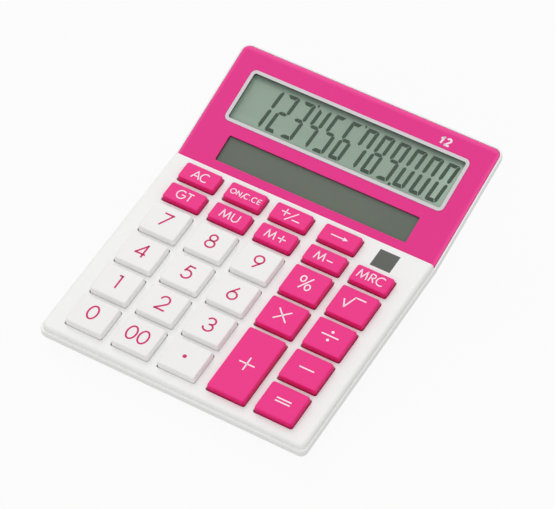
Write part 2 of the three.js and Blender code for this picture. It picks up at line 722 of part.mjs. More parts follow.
const keypadPlane = tiltedPlane(KEYPAD_SLOPE, 0);
const displayPlane = tiltedPlane(KEYPAD_SLOPE + HEAD_TILT, HEAD_DROP);

place(calculator, "rear_case", rearCase(), WHITE_CASE);
place(keypadPlane, "keypad_deck", keypadDeck(), WHITE_CASE);
place(displayPlane, "display_cover", displayCover(), PINK_GLOSS);
place(displayPlane, "lcd_frame", lcdFrame(), SILVER_TRIM);
place(displayPlane, "lcd_window", lcdWindow(), CLEAR_WINDOW);
place(displayPlane, "lcd_panel", lcdPanel(), LCD_GREY);
place(calculator, "lcd_ribbon", lcdRibbon(), RIBBON_AMBER);
place(displayPlane, "solar_panel", solarPanel(), SOLAR_DARK);
place(keypadPlane, "rubber_keypad", rubberKeypad(), MAT_RUBBER);
place(keypadPlane, "circuit_board", circuitBoard(), BOARD_GREEN);
place(keypadPlane, "chip", chip(), CHIP_BLACK, 0, -35);
place(calculator, "battery_cover", batteryCover(), WHITE_CASE);
place(calculator, "button_cell", buttonCell(), STEEL, 0, CELL_Y, CELL_BOTTOM);
place(calculator, "contact_minus", contactMinus(), STEEL, 0, CELL_Y);
place(calculator, "contact_plus", contactPlus(), STEEL, 0, CELL_Y);

for (const key of KEYS) {
  const { x, y, depth, height } = keyPlace(key);
  place(keypadPlane, key.name, keyCap(depth, height), key.pink ? PINK_KEY : WHITE_KEY, x, y);
}

// The height of a case screw, head down in its counterbore.
function screwHeight({ counterbore }, drop) {
  return counterbore - SLAB_DEPTH - CASE_SCREW.headHeight - FIT_GAP + drop;
}

bothSides(SCREW_PLACES.keypad).forEach(([x, y], i) => {
  const height = screwHeight(KEYPAD_SEAT, 0);
  place(keypadPlane, `case_screw_${i + 1}`, screw(CASE_SCREW), STEEL, x, y, height);
});
bothSides(SCREW_PLACES.display).forEach(([x, y], i) => {
  const height = screwHeight(DISPLAY_SEAT, HEAD_DROP);
  place(displayPlane, `case_screw_${i + 5}`, screw(CASE_SCREW), STEEL, x, y, height);
});

const boardSeat = BOARD_BOTTOM - FIT_GAP - BOARD_SCREW.headHeight;
BOARD_SCREWS.forEach(([x, y], i) => {
  place(keypadPlane, `board_screw_${i + 1}`, screw(BOARD_SCREW), STEEL, x, y, boardSeat);
});

FEET.forEach(([x, y], i) => {
  place(calculator, `foot_${i + 1}`, foot(), FOOT_RUBBER, x, y);
});

const extent = new THREE.Box3().setFromObject(calculator);
calculator.position.y = -(extent.min.y + extent.max.y) / 2;

export default calculator;
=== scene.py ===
import math

import bmesh
import bpy
from mathutils import Matrix, Vector


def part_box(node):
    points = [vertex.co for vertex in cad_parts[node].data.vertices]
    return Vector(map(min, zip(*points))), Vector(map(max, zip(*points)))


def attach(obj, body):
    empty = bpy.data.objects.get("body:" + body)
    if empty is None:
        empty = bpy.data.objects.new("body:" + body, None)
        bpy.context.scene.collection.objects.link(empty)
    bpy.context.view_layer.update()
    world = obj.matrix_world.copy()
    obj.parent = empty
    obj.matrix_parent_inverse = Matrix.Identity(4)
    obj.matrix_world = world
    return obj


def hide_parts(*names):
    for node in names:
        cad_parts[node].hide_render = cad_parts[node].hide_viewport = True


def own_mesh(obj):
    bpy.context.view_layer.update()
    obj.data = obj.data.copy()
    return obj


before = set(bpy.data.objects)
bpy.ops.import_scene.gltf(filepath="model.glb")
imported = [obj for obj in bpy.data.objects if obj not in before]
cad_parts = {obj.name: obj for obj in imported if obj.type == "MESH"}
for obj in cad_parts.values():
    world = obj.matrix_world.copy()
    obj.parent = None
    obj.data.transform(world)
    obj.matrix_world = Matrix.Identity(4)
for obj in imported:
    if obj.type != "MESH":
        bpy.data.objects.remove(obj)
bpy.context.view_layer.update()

# ---- driving dimensions, in millimetres ----------------------------------------------------------

MM = 0.001


def both_sides(across, *along):
    """Places on both sides of the middle line, at each of the distances along it."""
    return [(side * across, y) for y in along for side in (-1, 1)]


CASE_WIDTH = 107.5
KEYPAD_LENGTH = 88.4
HEAD_LENGTH = 50.6
KEYPAD_SLOPE = math.radians(6.5)
HEAD_TILT = math.radians(12.7)
HEAD_DROP = 1.75
BEND_HEIGHT = 19.1
CORNER_RADIUS = 3.5
FRONT_CORNER_RADIUS = 2.8

FIT_GAP = 0.3
UPPER_INSET = {"side": 0.75, "front": 1.0}
PLATE = 1.5
EDGE_RADIUS = 1.2
COVER_EDGE = 0.35
SKIRT_DEPTH = 3.3
REAR_WALL = 1.6
REAR_WALL_BOTTOM = -2.6
RIM = {"depth": 2.1, "softening": 0.14}
SLAB_DEPTH = 7.2
SLAB_ROUNDING = 3.5
TRAY_WALL = 2.2
FLOOR = 1.6
SEAM = 0.04
COVER_SEAM = 0.14

COLUMN_PITCH = 18.87
BLOCK_GAP = 1.02
ROW_PITCH = 15.45
KEY_WIDTH = 15.18
KEY_DEPTH = 13.2
SMALL_KEY_DEPTH = 7.76
FRONT_MARGIN = 5.6
SMALL_ROWS_START = 61.95
SMALL_ROW_PITCH = 10.24
KEY_HEIGHT = 2.38
SMALL_KEY_HEIGHT = 2.2
KEY_DRAFT = 0.24
KEY_SOFTENING = 0.42
KEY_CORNER = 1.1
KEY_GAP = 0.19
OPENING_CORNER = 0.75
OPENING_PLAY = 0.06
FLANGE_TOP = -1.8
FLANGE_BOTTOM = -2.4
CATCH_REACH = 0.6
MAT_OUTLINE = {"half": 45.3, "front": 3.9 - KEYPAD_LENGTH, "back": -4.2, "corner": 2}
DOME_TOP = -2.7
MAT_TOP = -3.7
MAT_BOTTOM = -4.2
PLUNGER_RADIUS = 1.6

FRAME_OUTLINE = {"half": 45.09, "front": 19.52, "back": 41.9, "corner": 2.2}
FRAME_RIM = 1.35
FRAME_SKIRT = 0.6
FRAME_PROUD = 0.15
FRAME_EDGE = 0.12
FRAME_GAP = 0.05
WINDOW_SEAT = -0.38
LCD_TOP = -1.7
SOLAR_OUTLINE = {"half": 39.23, "front": 3.96, "back": 14.66, "corner": 0.5}
SOLAR_PANEL = {"half": 40.4, "front": 2.8, "back": 15.8, "corner": 0.6}
SOLAR_TOP = -0.9

BASE = {"half": 38.0, "front": -79.0, "back": 36.0, "corner": 9.0}
FOOT_DEPTH = 0.8
SIDE_DRAFT = math.tan(math.radians(12))
REAR_DRAFT = math.tan(math.radians(15))
CHANNEL_ROOF = 3.0
TONGUE_SILL = FOOT_DEPTH + 0.8
CELL_RADIUS = 5.8
CELL_TOP = 6.35
CELL_Y = 23.0
BATTERY_COVER = {"half": 10.0, "front": 12.0, "back": BASE["back"] - 0.2, "tongue": 1.2}
FOOT = {"radius": 4.0, "height": 1.3}
FEET = both_sides(31.0, -68.0, 24.0)

CASE_SCREW = {"radius": 1.9, "head": 1.2, "shank": 0.9, "length": 3.8}
BOARD_SCREW = {"radius": 1.7, "head": 0.8, "shank": 0.8, "length": 3.4}
POST_RADIUS = 1.7
SEAT_RADIUS = 2.5
SCREW_SIDE = 48.1
KEYPAD_SCREWS = both_sides(SCREW_SIDE, 4.6 - KEYPAD_LENGTH,
                           FRONT_MARGIN - KEYPAD_LENGTH + SMALL_ROWS_START - 1.2)
DISPLAY_SCREWS = both_sides(SCREW_SIDE, HEAD_LENGTH - 5.2)
KEYPAD_SEAT = {"top": -4.0, "counterbore": 2.2}
DISPLAY_SEAT = {"top": -4.7, "counterbore": 1.9}
BOARD_SCREWS = both_sides(1.5 * COLUMN_PITCH + BLOCK_GAP / 2, -53, -11.8)
BOARD_TOP = -4.5
BOARD_BOTTOM = -5.3

INK = 0.03
TEXT_HEIGHT = 3.4
SMALL_TEXT_HEIGHT = 2.05
STROKE_WIDTHS = {"figure": 0.7, "key": 0.52, "small key": 0.44, "long word": 0.34}
NUMBER_STROKE = 0.72
BADGE = {"half": 3.975, "front": -10.5, "back": -2.75, "x": 37.475}

DIGIT_HEIGHT = 16.3
DIGIT_MIDDLE = 8.3
DIGIT_WIDTH = 4.64
DIGIT_PITCH = 6.6
DIGIT_SLANT = 0.094
FIRST_DIGIT = -36.45
DIGIT_BASE = 22.5
SEGMENT = 1.25
DECIMAL_POINT = (22.1, 22.4)
COMMAS = ((-16.36, 38.9), (3.4, 38.8))

TRAY_FLOOR = FLOOR - SLAB_DEPTH

# How the pieces are drawn: the sharpest corner of a ring, how far a cutter reaches past what it cuts,
# and the bend from which a stroke is drawn as two straight runs.
SHARPEST_CORNER = 0.15
PAST = 1.0
CORNER_BEND = math.radians(20)

# The bend line's place comes from the frame: the battery cover starts this far behind it.
BEND_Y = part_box("battery_cover")[0].y / MM - BATTERY_COVER["front"]


def plane(slope, drop=0.0):
    """The matrix from a tilted plane's own millimetres to the frame's metres."""
    place = Matrix.Translation((0, BEND_Y + drop * math.sin(slope), BEND_HEIGHT - drop * math.cos(slope)))
    return Matrix.Scale(MM, 4) @ place @ Matrix.Rotation(slope, 4, "X")


KEYPAD = plane(KEYPAD_SLOPE)
KEYPAD_NORMAL = KEYPAD.to_3x3().col[2].normalized()
HEAD = plane(KEYPAD_SLOPE + HEAD_TILT, HEAD_DROP)
UPRIGHT = Matrix.Scale(MM, 4) @ Matrix.Translation((0, BEND_Y, 0))

# ---- shader graphs -------------------------------------------------------------------------------


class Signal:
    """A shader socket that can be used in Python expressions."""

    def __init__(self, graph, socket):
        self.graph = graph
        self.socket = socket

    def _math(self, operation, first, second):
        return self.graph.node("ShaderNodeMath", {"operation": operation}, {0: first, 1: second})

    def __add__(self, other):
        return self._math("ADD", self, other)

    def __radd__(self, other):
        return self._math("ADD", other, self)

    def __sub__(self, other):
        return self._math("SUBTRACT", self, other)

    def __rsub__(self, other):
        return self._math("SUBTRACT", other, self)

    def __mul__(self, other):
        return self._math("MULTIPLY", self, other)

    def __rmul__(self, other):
        return self._math("MULTIPLY", other, self)

    def __truediv__(self, other):
        return self._math("DIVIDE", self, other)


class Graph:
    """A node tree: a new node gets its settings first, then values or links in its sockets."""

    def __init__(self, tree):
        self.tree = tree
        tree.nodes.clear()

    def put(self, socket, value):
        """Links a signal to a socket, or sets the socket to a plain value."""
        if isinstance(value, Signal):
            self.tree.links.new(value.socket, socket)
        else:
            socket.default_value = value

    def node(self, kind, settings=None, sockets=None, output=0):
        made = self.tree.nodes.new(kind)
        for key, value in (settings or {}).items():
            setattr(made, key, value)
        for key, value in (sockets or {}).items():
            self.put(made.inputs[key], value)
        return Signal(self, made.outputs[output])


class Finish(Graph):
    """The node graph of one finish, around one Principled shader."""

    def __init__(self, name, **constants):
        self.material = bpy.data.materials.new(name)
        self.material.use_nodes = True
        super().__init__(self.material.node_tree)
        self.output = self.tree.nodes.new("ShaderNodeOutputMaterial")
        self.shader = self.tree.nodes.new("ShaderNodeBsdfPrincipled")
        self.tree.links.new(self.shader.outputs[0], self.output.inputs["Surface"])
        for key, value in constants.items():
            self.shader.inputs[key.replace("_", " ").title().replace("Ior", "IOR")].default_value = value
        self.place = self.node("ShaderNodeTexCoord", output="Object")

    def feed(self, name, value):
        """Sets or links one of the shader's own sockets."""
        self.put(self.shader.inputs[name], value)

    def noise(self, size, detail=2.0, stretch=(1, 1, 1)):
        """Noise between 0 and 1 whose features are about size millimetres across."""
        spot = self.node("ShaderNodeMapping", None, {"Vector": self.place, "Scale": stretch})
        return self.node("ShaderNodeTexNoise", None,
                         {"Vector": spot, "Scale": 1 / (size * MM), "Detail": detail})

    def along(self, axis):
        """The place along one axis of the frame, in millimetres."""
        return self.node("ShaderNodeSeparateXYZ", None, {"Vector": self.place}, output=axis) / MM

    def up_head(self):
        """The distance up the display head from the bend, in millimetres."""
        return (self.along("Y") - BEND_Y) / math.cos(KEYPAD_SLOPE + HEAD_TILT)

    def mix(self, factor, first, second):
        """A colour between two others, the first one at factor 0 and below, the second at 1 and above."""
        return self.node("ShaderNodeMix", {"data_type": "RGBA"}, {0: factor, 6: first, 7: second}, output=2)

    def shades(self, factor, color, first, second):
        """A blend of two shades of one colour, each given as a factor of its brightness."""
        return self.mix(factor, shaded(color, first), shaded(color, second))

    def bump(self, height, strength, depth):
        """Relief of depth millimetres, from a height between 0 and 1."""
        relief = self.node("ShaderNodeBump", None,
                           {"Height": height, "Strength": strength, "Distance": depth * MM})
        self.feed("Normal", relief)


class MeshTree(Graph):
    """A geometry node tree with named inputs, which ends in one real mesh with one finish."""

    def __init__(self, name, inputs):
        super().__init__(bpy.data.node_groups.new(name, "GeometryNodeTree"))
        titles = {**inputs, "Finish": "Material"}
        for title, kind in titles.items():
            self.tree.interface.new_socket(title, in_out="INPUT", socket_type="NodeSocket" + kind)
        self.tree.interface.new_socket("Solid", in_out="OUTPUT", socket_type="NodeSocketGeometry")
        given = self.tree.nodes.new("NodeGroupInput")
        self.given = {title: Signal(self, given.outputs[title]) for title in titles}

    def ended(self, geometry):
        """The finished tree: the geometry is made real and gets its finish."""
        real = self.node("GeometryNodeRealizeInstances", None, {"Geometry": geometry})
        coated = self.node("GeometryNodeSetMaterial", None,
                           {"Geometry": real, "Material": self.given["Finish"]})
        result = self.tree.nodes.new("NodeGroupOutput")
        self.put(result.inputs["Solid"], coated)
        return self.tree


def channel(value):
    value /= 255
    return value / 12.92 if value <= 0.04045 else ((value + 0.055) / 1.055) ** 2.4


def colour(red, green, blue):
    """A colour written as it looks on screen, from 0 to 255."""
    return (channel(red), channel(green), channel(blue), 1.0)


def shaded(color, factor):
    return (*(part * factor for part in color[:3]), 1.0)


def moulded_plastic(name, color, roughness, **constants):
    """Injection moulded plastic: faint flow clouds, and a fine texture from the mould."""
    finish = Finish(name, **constants)
    clouds = finish.noise(24, detail=3)
    finish.feed("Base Color", finish.shades(clouds, color, 0.975, 1.015))
    texture = finish.noise(0.12, detail=3)
    finish.feed("Roughness", texture * 0.08 + (roughness - 0.04))
    finish.bump(texture, 0.25, 0.02)
    return finish.material


def pink_side_painted_shade():
    """The sides of the pink keys, in a darker painted-shade copy of their pink, with painted shade that
    deepens towards the slot each key stands in.
    """
    finish = Finish("pink_key_side", specular_ior_level=0.2)
    color = colour(246, 6, 116)
    deck_level = KEYPAD_NORMAL.dot(KEYPAD.translation) / MM
    height = finish.along("Y") * KEYPAD_NORMAL.y + finish.along("Z") * KEYPAD_NORMAL.z - deck_level
    clouds = finish.noise(24, detail=3)
    even = finish.shades(clouds, color, 0.93, 0.97)
    slot_shade_fade = height / (KEY_HEIGHT - 0.2)
    # Painted shade: a darker copy of the key's pink, darkening further towards the slot at the foot of the
    # side.
    finish.feed("Base Color", finish.mix(slot_shade_fade, shaded(color, 0.56), even))
    finish.feed("Roughness", clouds * 0.06 + 0.32)
    return finish.material


def gloss_plastic(name, color, edge_highlight):
    """Polished plastic under a clear hard coat, slightly wavy, with a painted highlight along its three outer
    edges.
    """
    finish = Finish(name, coat_weight=0.25, coat_roughness=0.04, specular_ior_level=0.35)
    base = finish.shades(finish.noise(30, detail=2), color, 0.97, 1.02)
    half, back = CASE_WIDTH / 2 - UPPER_INSET["side"], HEAD_LENGTH - UPPER_INSET["side"]
    # Painted highlight: the colour turns paler within a band along both sides and the back edge.
    highlight_band, fade = 1.5, 1.2
    across = finish.along("X")
    for inside in (half - across, half + across, back - finish.up_head()):
        base = finish.mix((highlight_band - inside) / fade, base, edge_highlight)
    finish.feed("Base Color", base)
    finish.feed("Roughness", finish.noise(6, detail=3) * 0.06 + 0.17)
    finish.bump(finish.noise(9, detail=1), 0.15, 0.03)
    return finish.material


def printed_ink(name, color):
    """Screen printed ink: even, with a slightly uneven gloss."""
    finish = Finish(name, specular_ior_level=0.2)
    patches = finish.noise(0.5, detail=2)
    finish.feed("Base Color", finish.shades(patches, color, 0.96, 1.0))
    finish.feed("Roughness", patches * 0.1 + 0.38)
    return finish.material


def crystal_glass():
    """The grey-green reflector seen through the liquid crystal, with its fine sparkle.

    It has painted light that makes it paler towards its front edge and its right end, and a painted shadow of
    the frame along the back.
    """
    finish = Finish("lcd_glass", coat_weight=0.05, coat_roughness=0.1, specular_ior_level=0.25)
    fibres = finish.noise(0.35, detail=4)
    base = colour(158, 179, 162)
    fine = finish.shades(fibres, base, 0.95, 1.05)
    plain = finish.mix(finish.noise(35, detail=1) * 0.5, fine, shaded(base, 0.93))
    across, up = finish.along("X"), finish.up_head()
    # Painted light towards the front edge and the right end, and a painted shadow of the frame along the
    # back.
    painted_light_front, painted_light_right, painted_shadow_back = (27 - up) / 8, (across - 33) / 14, (up - 39.7) / 3
    paler = finish.mix(painted_light_front, plain, shaded(base, 1.3))
    palest = finish.mix(painted_light_right, paler, shaded(base, 1.5))
    finish.feed("Base Color", finish.mix(painted_shadow_back, palest, shaded(base, 0.4)))
    finish.feed("Roughness", fibres * 0.1 + 0.35)
    return finish.material


def solar_glass():
    """Dark thin-film cells behind glass, with a faint slow cast across the strip."""
    finish = Finish("solar_glass", coat_weight=0.15, coat_roughness=0.08, specular_ior_level=0.3)
    clouds = finish.noise(22, detail=2)
    grain = finish.noise(0.5, detail=2)
    glass = finish.mix(clouds, colour(94, 103, 92), colour(102, 111, 99))
    finish.feed("Base Color", finish.mix(grain * 0.2, glass, colour(86, 94, 85)))
    finish.feed("Roughness", clouds * 0.05 + 0.28)
    return finish.material


def clear_window():
    """A thin clear plastic window that only its reflections show."""
    finish = Finish("clear_window", alpha=0.05, base_color=(0.2, 0.22, 0.21, 1))
    finish.feed("Roughness", finish.noise(8, detail=2) * 0.02 + 0.03)
    return finish.material


def plated_steel():
    """Bright plated steel with fine turning marks."""
    finish = Finish("plated_steel", metallic=1.0)
    marks = finish.noise(0.4, detail=3, stretch=(1, 1, 6))
    finish.feed("Base Color", finish.mix(marks, (0.55, 0.55, 0.56, 1), (0.72, 0.72, 0.72, 1)))
    finish.feed("Roughness", marks * 0.15 + 0.25)
    return finish.material


def soft_rubber(name, color):
    """Matt rubber with a fine pebbled skin."""
    finish = Finish(name)
    pebbles = finish.noise(0.3, detail=2)
    finish.feed("Base Color", finish.shades(pebbles, color, 0.85, 1.1))
    finish.feed("Roughness", pebbles * 0.1 + 0.8)
    finish.bump(pebbles, 0.4, 0.05)
    return finish.material


WHITE_CASE = moulded_plastic("white_case", colour(244, 244, 243), 0.42, specular_ior_level=0.4)
WHITE_KEY = moulded_plastic("white_key", colour(241, 240, 239), 0.38, specular_ior_level=0.4)
PINK_KEY = moulded_plastic("pink_key", colour(241, 47, 137), 0.4, specular_ior_level=0.2)
# Painted shade for the sides of the pink keys.
PINK_SIDE_PAINTED_SHADE = pink_side_painted_shade()
# The second colour is the painted highlight along the cover's edges.
PINK_GLOSS = gloss_plastic("pink_gloss", colour(232, 31, 137), colour(246, 66, 153))
# A dark pink, painted as shade on some walls of the cover.
PINK_WALL_SHADE = moulded_plastic("pink_edge", colour(104, 32, 62), 0.5, specular_ior_level=0.2)
SILVER_TRIM = moulded_plastic("silver_trim", colour(214, 210, 213), 0.3)
TRIM_SHADE = moulded_plastic("trim_shade", colour(34, 44, 39), 0.5)
CRYSTAL_GLASS = crystal_glass()
CRYSTAL_INK = printed_ink("crystal_ink", colour(66, 84, 70))
SOLAR_GLASS = solar_glass()
CLEAR_WINDOW = clear_window()
PINK_INK = printed_ink("pink_ink", colour(212, 46, 110))
WHITE_INK = printed_ink("white_ink", colour(250, 238, 244))
GREY_INK = printed_ink("grey_ink", colour(94, 97, 92))
FOOT_RUBBER = soft_rubber("foot_rubber", colour(58, 58, 60))
PALE_RUBBER = soft_rubber("pale_rubber", colour(216, 216, 212))
STEEL = plated_steel()
BOARD_GREEN = moulded_plastic("board_green", colour(40, 104, 66), 0.4)
CHIP_BLACK = moulded_plastic("chip_black", colour(26, 26, 28), 0.35)
RIBBON_AMBER = moulded_plastic("ribbon_amber", colour(186, 134, 60), 0.4)

# ---- mesh work: pieces are drawn in a plane's own millimetres, and placed last -------------------


def in_scene(data, name="solid"):
    """A new object in the scene that holds a mesh, a curve, a lamp or a camera."""
    holder = bpy.data.objects.new(name, data)
    bpy.context.scene.collection.objects.link(holder)
    return holder


def ring(outline, inset, z, steps=8):
    """A level ring of points with rounded corners, anticlockwise from above."""
    radius = max(outline["corner"] - inset, SHARPEST_CORNER)
    x = outline["half"] - inset - radius
    back = outline["back"] - inset - radius
    front = outline["front"] + inset + radius
    centres = ((x, back), (-x, back), (-x, front), (x, front))
    points = []
    for turns, (middle_x, middle_y) in enumerate(centres):
        for i in range(steps + 1):
            angle = (turns + i / steps) * math.pi / 2
            place = (middle_x + radius * math.cos(angle), middle_y + radius * math.sin(angle), z)
            points.append(Vector(place))
    return points


def solid_from(bm):
    mesh = bpy.data.meshes.new("solid")
    bm.to_mesh(mesh)
    bm.free()
    return in_scene(mesh)


def skin(rings):
    """A closed solid skinned over rings of equal length, with a flat cap at each end."""
    bm = bmesh.new()
    rows = [[bm.verts.new(point) for point in points] for points in rings]
    count = len(rows[0])
    for lower, upper in zip(rows, rows[1:]):
        for i in range(count):
            j = (i + 1) % count
            bm.faces.new((lower[i], lower[j], upper[j], upper[i]))
    bm.faces.new(reversed(rows[0]))
    bm.faces.new(rows[-1])
    return solid_from(bm)


def stack(outline, levels, steps=8):
    """A solid over one outline, inset by a different amount at each height, lowest first."""
    return skin([ring(outline, inset, z, steps) for inset, z in levels])


def grown(outline, by):
    return {"half": outline["half"] + by, "front": outline["front"] - by,
            "back": outline["back"] + by, "corner": outline["corner"] + by}


def anticlockwise(outline):
    area = sum(ax * by - bx * ay for (ax, ay), (bx, by) in zip(outline, outline[1:] + outline[:1]))
    return outline if area > 0 else outline[::-1]


def slab(outline, bottom, top):
    """A plate with the given outline."""
    return skin([[Vector((x, y, z)) for x, y in anticlockwise(outline)] for z in (bottom, top)])


def block(half, front, back, bottom, top, x=0.0):
    return slab([(x + half, back), (x - half, back), (x - half, front), (x + half, front)], bottom, top)


def turned(profile, x=0.0, y=0.0, sides=40):
    """A solid of revolution about an upright axis, from radius and height pairs, lowest first."""
    def level(radius, z):
        angles = (2 * math.pi * i / sides for i in range(sides))
        return [Vector((x + radius * math.cos(a), y + radius * math.sin(a), z)) for a in angles]
    return skin([level(radius, z) for radius, z in profile])


def disc(radius, bottom, top, x=0.0, y=0.0, sides=40):
    return turned([(radius, bottom), (radius, top)], x, y, sides)


def swept_across(profile, half):
    """A side view, as distances along and heights, swept across from -half to half."""
    return skin([[Vector((x, along, height)) for along, height in profile] for x in (-half, half)])


def quarter(steps):
    """The angles of a quarter turn."""
    return [i / steps * math.pi / 2 for i in range(steps + 1)]


def rounding(inset, top, radius, steps=7):
    """Levels of a quarter-round edge that starts upright at the given inset and ends flat at top."""
    return [(inset + radius * (1 - math.cos(a)), top - radius * (1 - math.sin(a))) for a in quarter(steps)]


def under_rounding(bottom, radius, steps=7):
    """Levels of a quarter-round lower edge that starts flat at bottom and ends upright."""
    return [(radius * (1 - math.sin(a)), bottom + radius * (1 - math.cos(a))) for a in quarter(steps)]


def flaring(inset, top, radius, steps=4):
    """Levels of a hole's quarter-round upper edge, which starts upright at the given inset."""
    return [(2 * inset - level, z) for level, z in rounding(inset, top, radius, steps)]


def moved(solid, x=0.0, y=0.0):
    solid.data.transform(Matrix.Translation((x, y, 0)))
    return solid


def merged(solids):
    """One object with all the meshes, which are not joined to each other."""
    bm = bmesh.new()
    for solid in solids:
        bm.from_mesh(solid.data)
        bpy.data.objects.remove(solid)
    return solid_from(bm)


def evaluated_mesh(holder):
    """The mesh that an object's modifiers make of it."""
    graph = bpy.context.evaluated_depsgraph_get()
    return bpy.data.meshes.new_from_object(holder.evaluated_get(graph))


def settle(solid):
    """Applies the modifiers of a solid."""
    mesh = evaluated_mesh(solid)
    solid.modifiers.clear()
    solid.data = mesh
    return solid


def run_tree(tree, holder, values):
    """The solid that a geometry node tree makes of an object, with its inputs set by their identifiers."""
    modifier = holder.modifiers.new("tree", "NODES")
    modifier.node_group = tree
    for item in tree.interface.items_tree:
        if item.in_out == "INPUT" and item.name in values:
            modifier[item.identifier] = values[item.name]
    solid = in_scene(evaluated_mesh(holder))
    bpy.data.objects.remove(holder)
    return solid


def combined(solid, tools, operation):
    tool = merged(tools)
    modifier = solid.modifiers.new("combine", "BOOLEAN")
    modifier.operation = operation
    modifier.solver = "EXACT"
    modifier.object = tool
    modifier.use_self = operation == "DIFFERENCE"
    settle(solid)
    bpy.data.objects.remove(tool)
    return solid


def cut(solid, tools):
    return combined(solid, tools, "DIFFERENCE")


def joined(solid, tools):
    for tool in tools:
        combined(solid, [tool], "UNION")
    return solid


def mitred(solid, side, gap, height=0.0):
    """Keeps what lies on one side of the mitre through the bend, which crosses the plane at height."""
    reach = 150
    front, back = (gap, reach) if side > 0 else (-reach, -gap)
    keep = block(reach, front, back, -reach, reach)
    keep.data.transform(Matrix.Translation((0, 0, height)) @ Matrix.Rotation(-side * HEAD_TILT / 2, 4, "X"))
    return combined(solid, [keep], "INTERSECT")


def softened(solid, radius, segments=3, chosen=None):
    """Rounds the edges where two faces meet at a clear angle, or those of them that chosen picks."""
    bm = bmesh.new()
    bm.from_mesh(solid.data)
    clear = math.radians(25)
    edges = [edge for edge in bm.edges
             if len(edge.link_faces) == 2 and edge.calc_face_angle() > clear and (not chosen or chosen(edge))]
    bmesh.ops.bevel(bm, geom=edges, offset=radius, segments=segments, profile=0.5, affect="EDGES")
    bm.to_mesh(solid.data)
    bm.free()
    return solid


def shade(solid):
    """Smooth faces with sharp creases, and flats that stay flat beside small roundings."""
    mesh = solid.data
    mesh.shade_smooth()
    mesh.set_sharp_from_angle(angle=math.radians(38))
    modifier = solid.modifiers.new("flats", "WEIGHTED_NORMAL")
    modifier.mode = "FACE_AREA"
    modifier.keep_sharp = True
    modifier.weight = 80
    return settle(solid)


def fit(name, solid, place, finish, body, slot, nodes=()):
    """Puts a finished solid in the frame, on its body, in place of the CAD nodes it stands for."""
    solid.name = name
    solid.data.name = name
    solid.data.transform(place)
    shade(solid)
    solid.data.materials.clear()
    solid.data.materials.append(finish)
    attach(solid, body)
    if nodes:
        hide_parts(*nodes)
    return solid


def paint_walls(solid, place, finish, chosen):
    """Gives a second finish to the faces that chosen picks by their middle and normal on the plane."""
    solid.data.materials.append(finish)
    back = place.inverted()
    turn = back.to_3x3()
    for face in solid.data.polygons:
        if chosen(back @ face.center, (turn @ face.normal).normalized()):
            face.material_index = 1


# ---- the key field -------------------------------------------------------------------------------

# The keys of each row, from the left, and the rows from the front.
LAYOUT = {
    "row_1": ("key_0", "key_00", "key_point", "key_plus", "key_equals"),
    "row_2": ("key_1", "key_2", "key_3", None, "key_minus"),
    "row_3": ("key_4", "key_5", "key_6", "key_multiply", "key_divide"),
    "row_4": ("key_7", "key_8", "key_9", "key_percent", "key_root"),
    "small_1": ("key_gt", "key_mu", "key_m_plus", "key_m_minus", "key_mrc"),
    "small_2": ("key_ac", "key_on_c_ce", "key_sign", "key_arrow"),
}
ROWS = list(LAYOUT)
KEYS = [(name, column, row) for row, names in LAYOUT.items() for column, name in enumerate(names) if name]
WHITE_KEYS = [(name, column, row) for name, column, row in KEYS if column < 3 and row.startswith("row")]
PINK_KEYS = [key for key in KEYS if key not in WHITE_KEYS]


def key_place(name, column, row):
    """The middle, the depth and the height of a key on the keypad plane."""
    rank = ROWS.index(row)
    small = row.startswith("small")
    start = SMALL_ROWS_START + (rank - ROWS.index("small_1")) * SMALL_ROW_PITCH if small else rank * ROW_PITCH
    depth = SMALL_KEY_DEPTH if small else KEY_DEPTH
    if name == "key_plus":
        depth += ROW_PITCH
    x = (column - 2) * COLUMN_PITCH + (BLOCK_GAP / 2 if column > 2 else -BLOCK_GAP / 2)
    y = FRONT_MARGIN - KEYPAD_LENGTH + start + depth / 2
    return x, y, depth, SMALL_KEY_HEIGHT if small else KEY_HEIGHT


def key_outline(depth, grow=0.0):
    return {"half": KEY_WIDTH / 2 + grow, "front": -depth / 2 - grow,
            "back": depth / 2 + grow, "corner": KEY_CORNER + grow}


def key_cap(depth, height):
    """A hollow cap with drafted sides and a rounded top edge, catches along two edges and a plunger."""
    wall = 1.2
    ceiling = height - wall
    hollow = [(wall, ceiling), (wall, FLANGE_BOTTOM)]
    outside = [(0, FLANGE_BOTTOM), (0, 0), *rounding(KEY_DRAFT, height, KEY_SOFTENING)]
    shell = stack(key_outline(depth), hollow + outside, steps=6)
    edge, reach = depth / 2 - wall / 2, depth / 2 + CATCH_REACH
    catches = [block(KEY_WIDTH / 2 - KEY_CORNER, front, back, FLANGE_BOTTOM, FLANGE_TOP)
               for front, back in ((-reach, -edge), (edge, reach))]
    plunger = disc(PLUNGER_RADIUS, FLANGE_BOTTOM, ceiling + wall / 2, sides=24)
    return combined(shell, [*catches, plunger], "UNION")


# ---- legends: strokes drawn as curves, given their width by a node tree --------------------------


def arc(x, y, wide, high, start, end, steps=16):
    """Points on an ellipse's arc, between two angles in degrees."""
    angles = (math.radians(start + (end - start) * i / steps) for i in range(steps + 1))
    return [(x + wide * math.cos(a), y + high * math.sin(a)) for a in angles]


def oval(x, y, wide, high):
    return arc(x, y, wide, high, 0, 360, steps=32)


def cross(x, y, wide, high):
    return [[(x - wide, y), (x + wide, y)], [(x, y - high), (x, y + high)]]


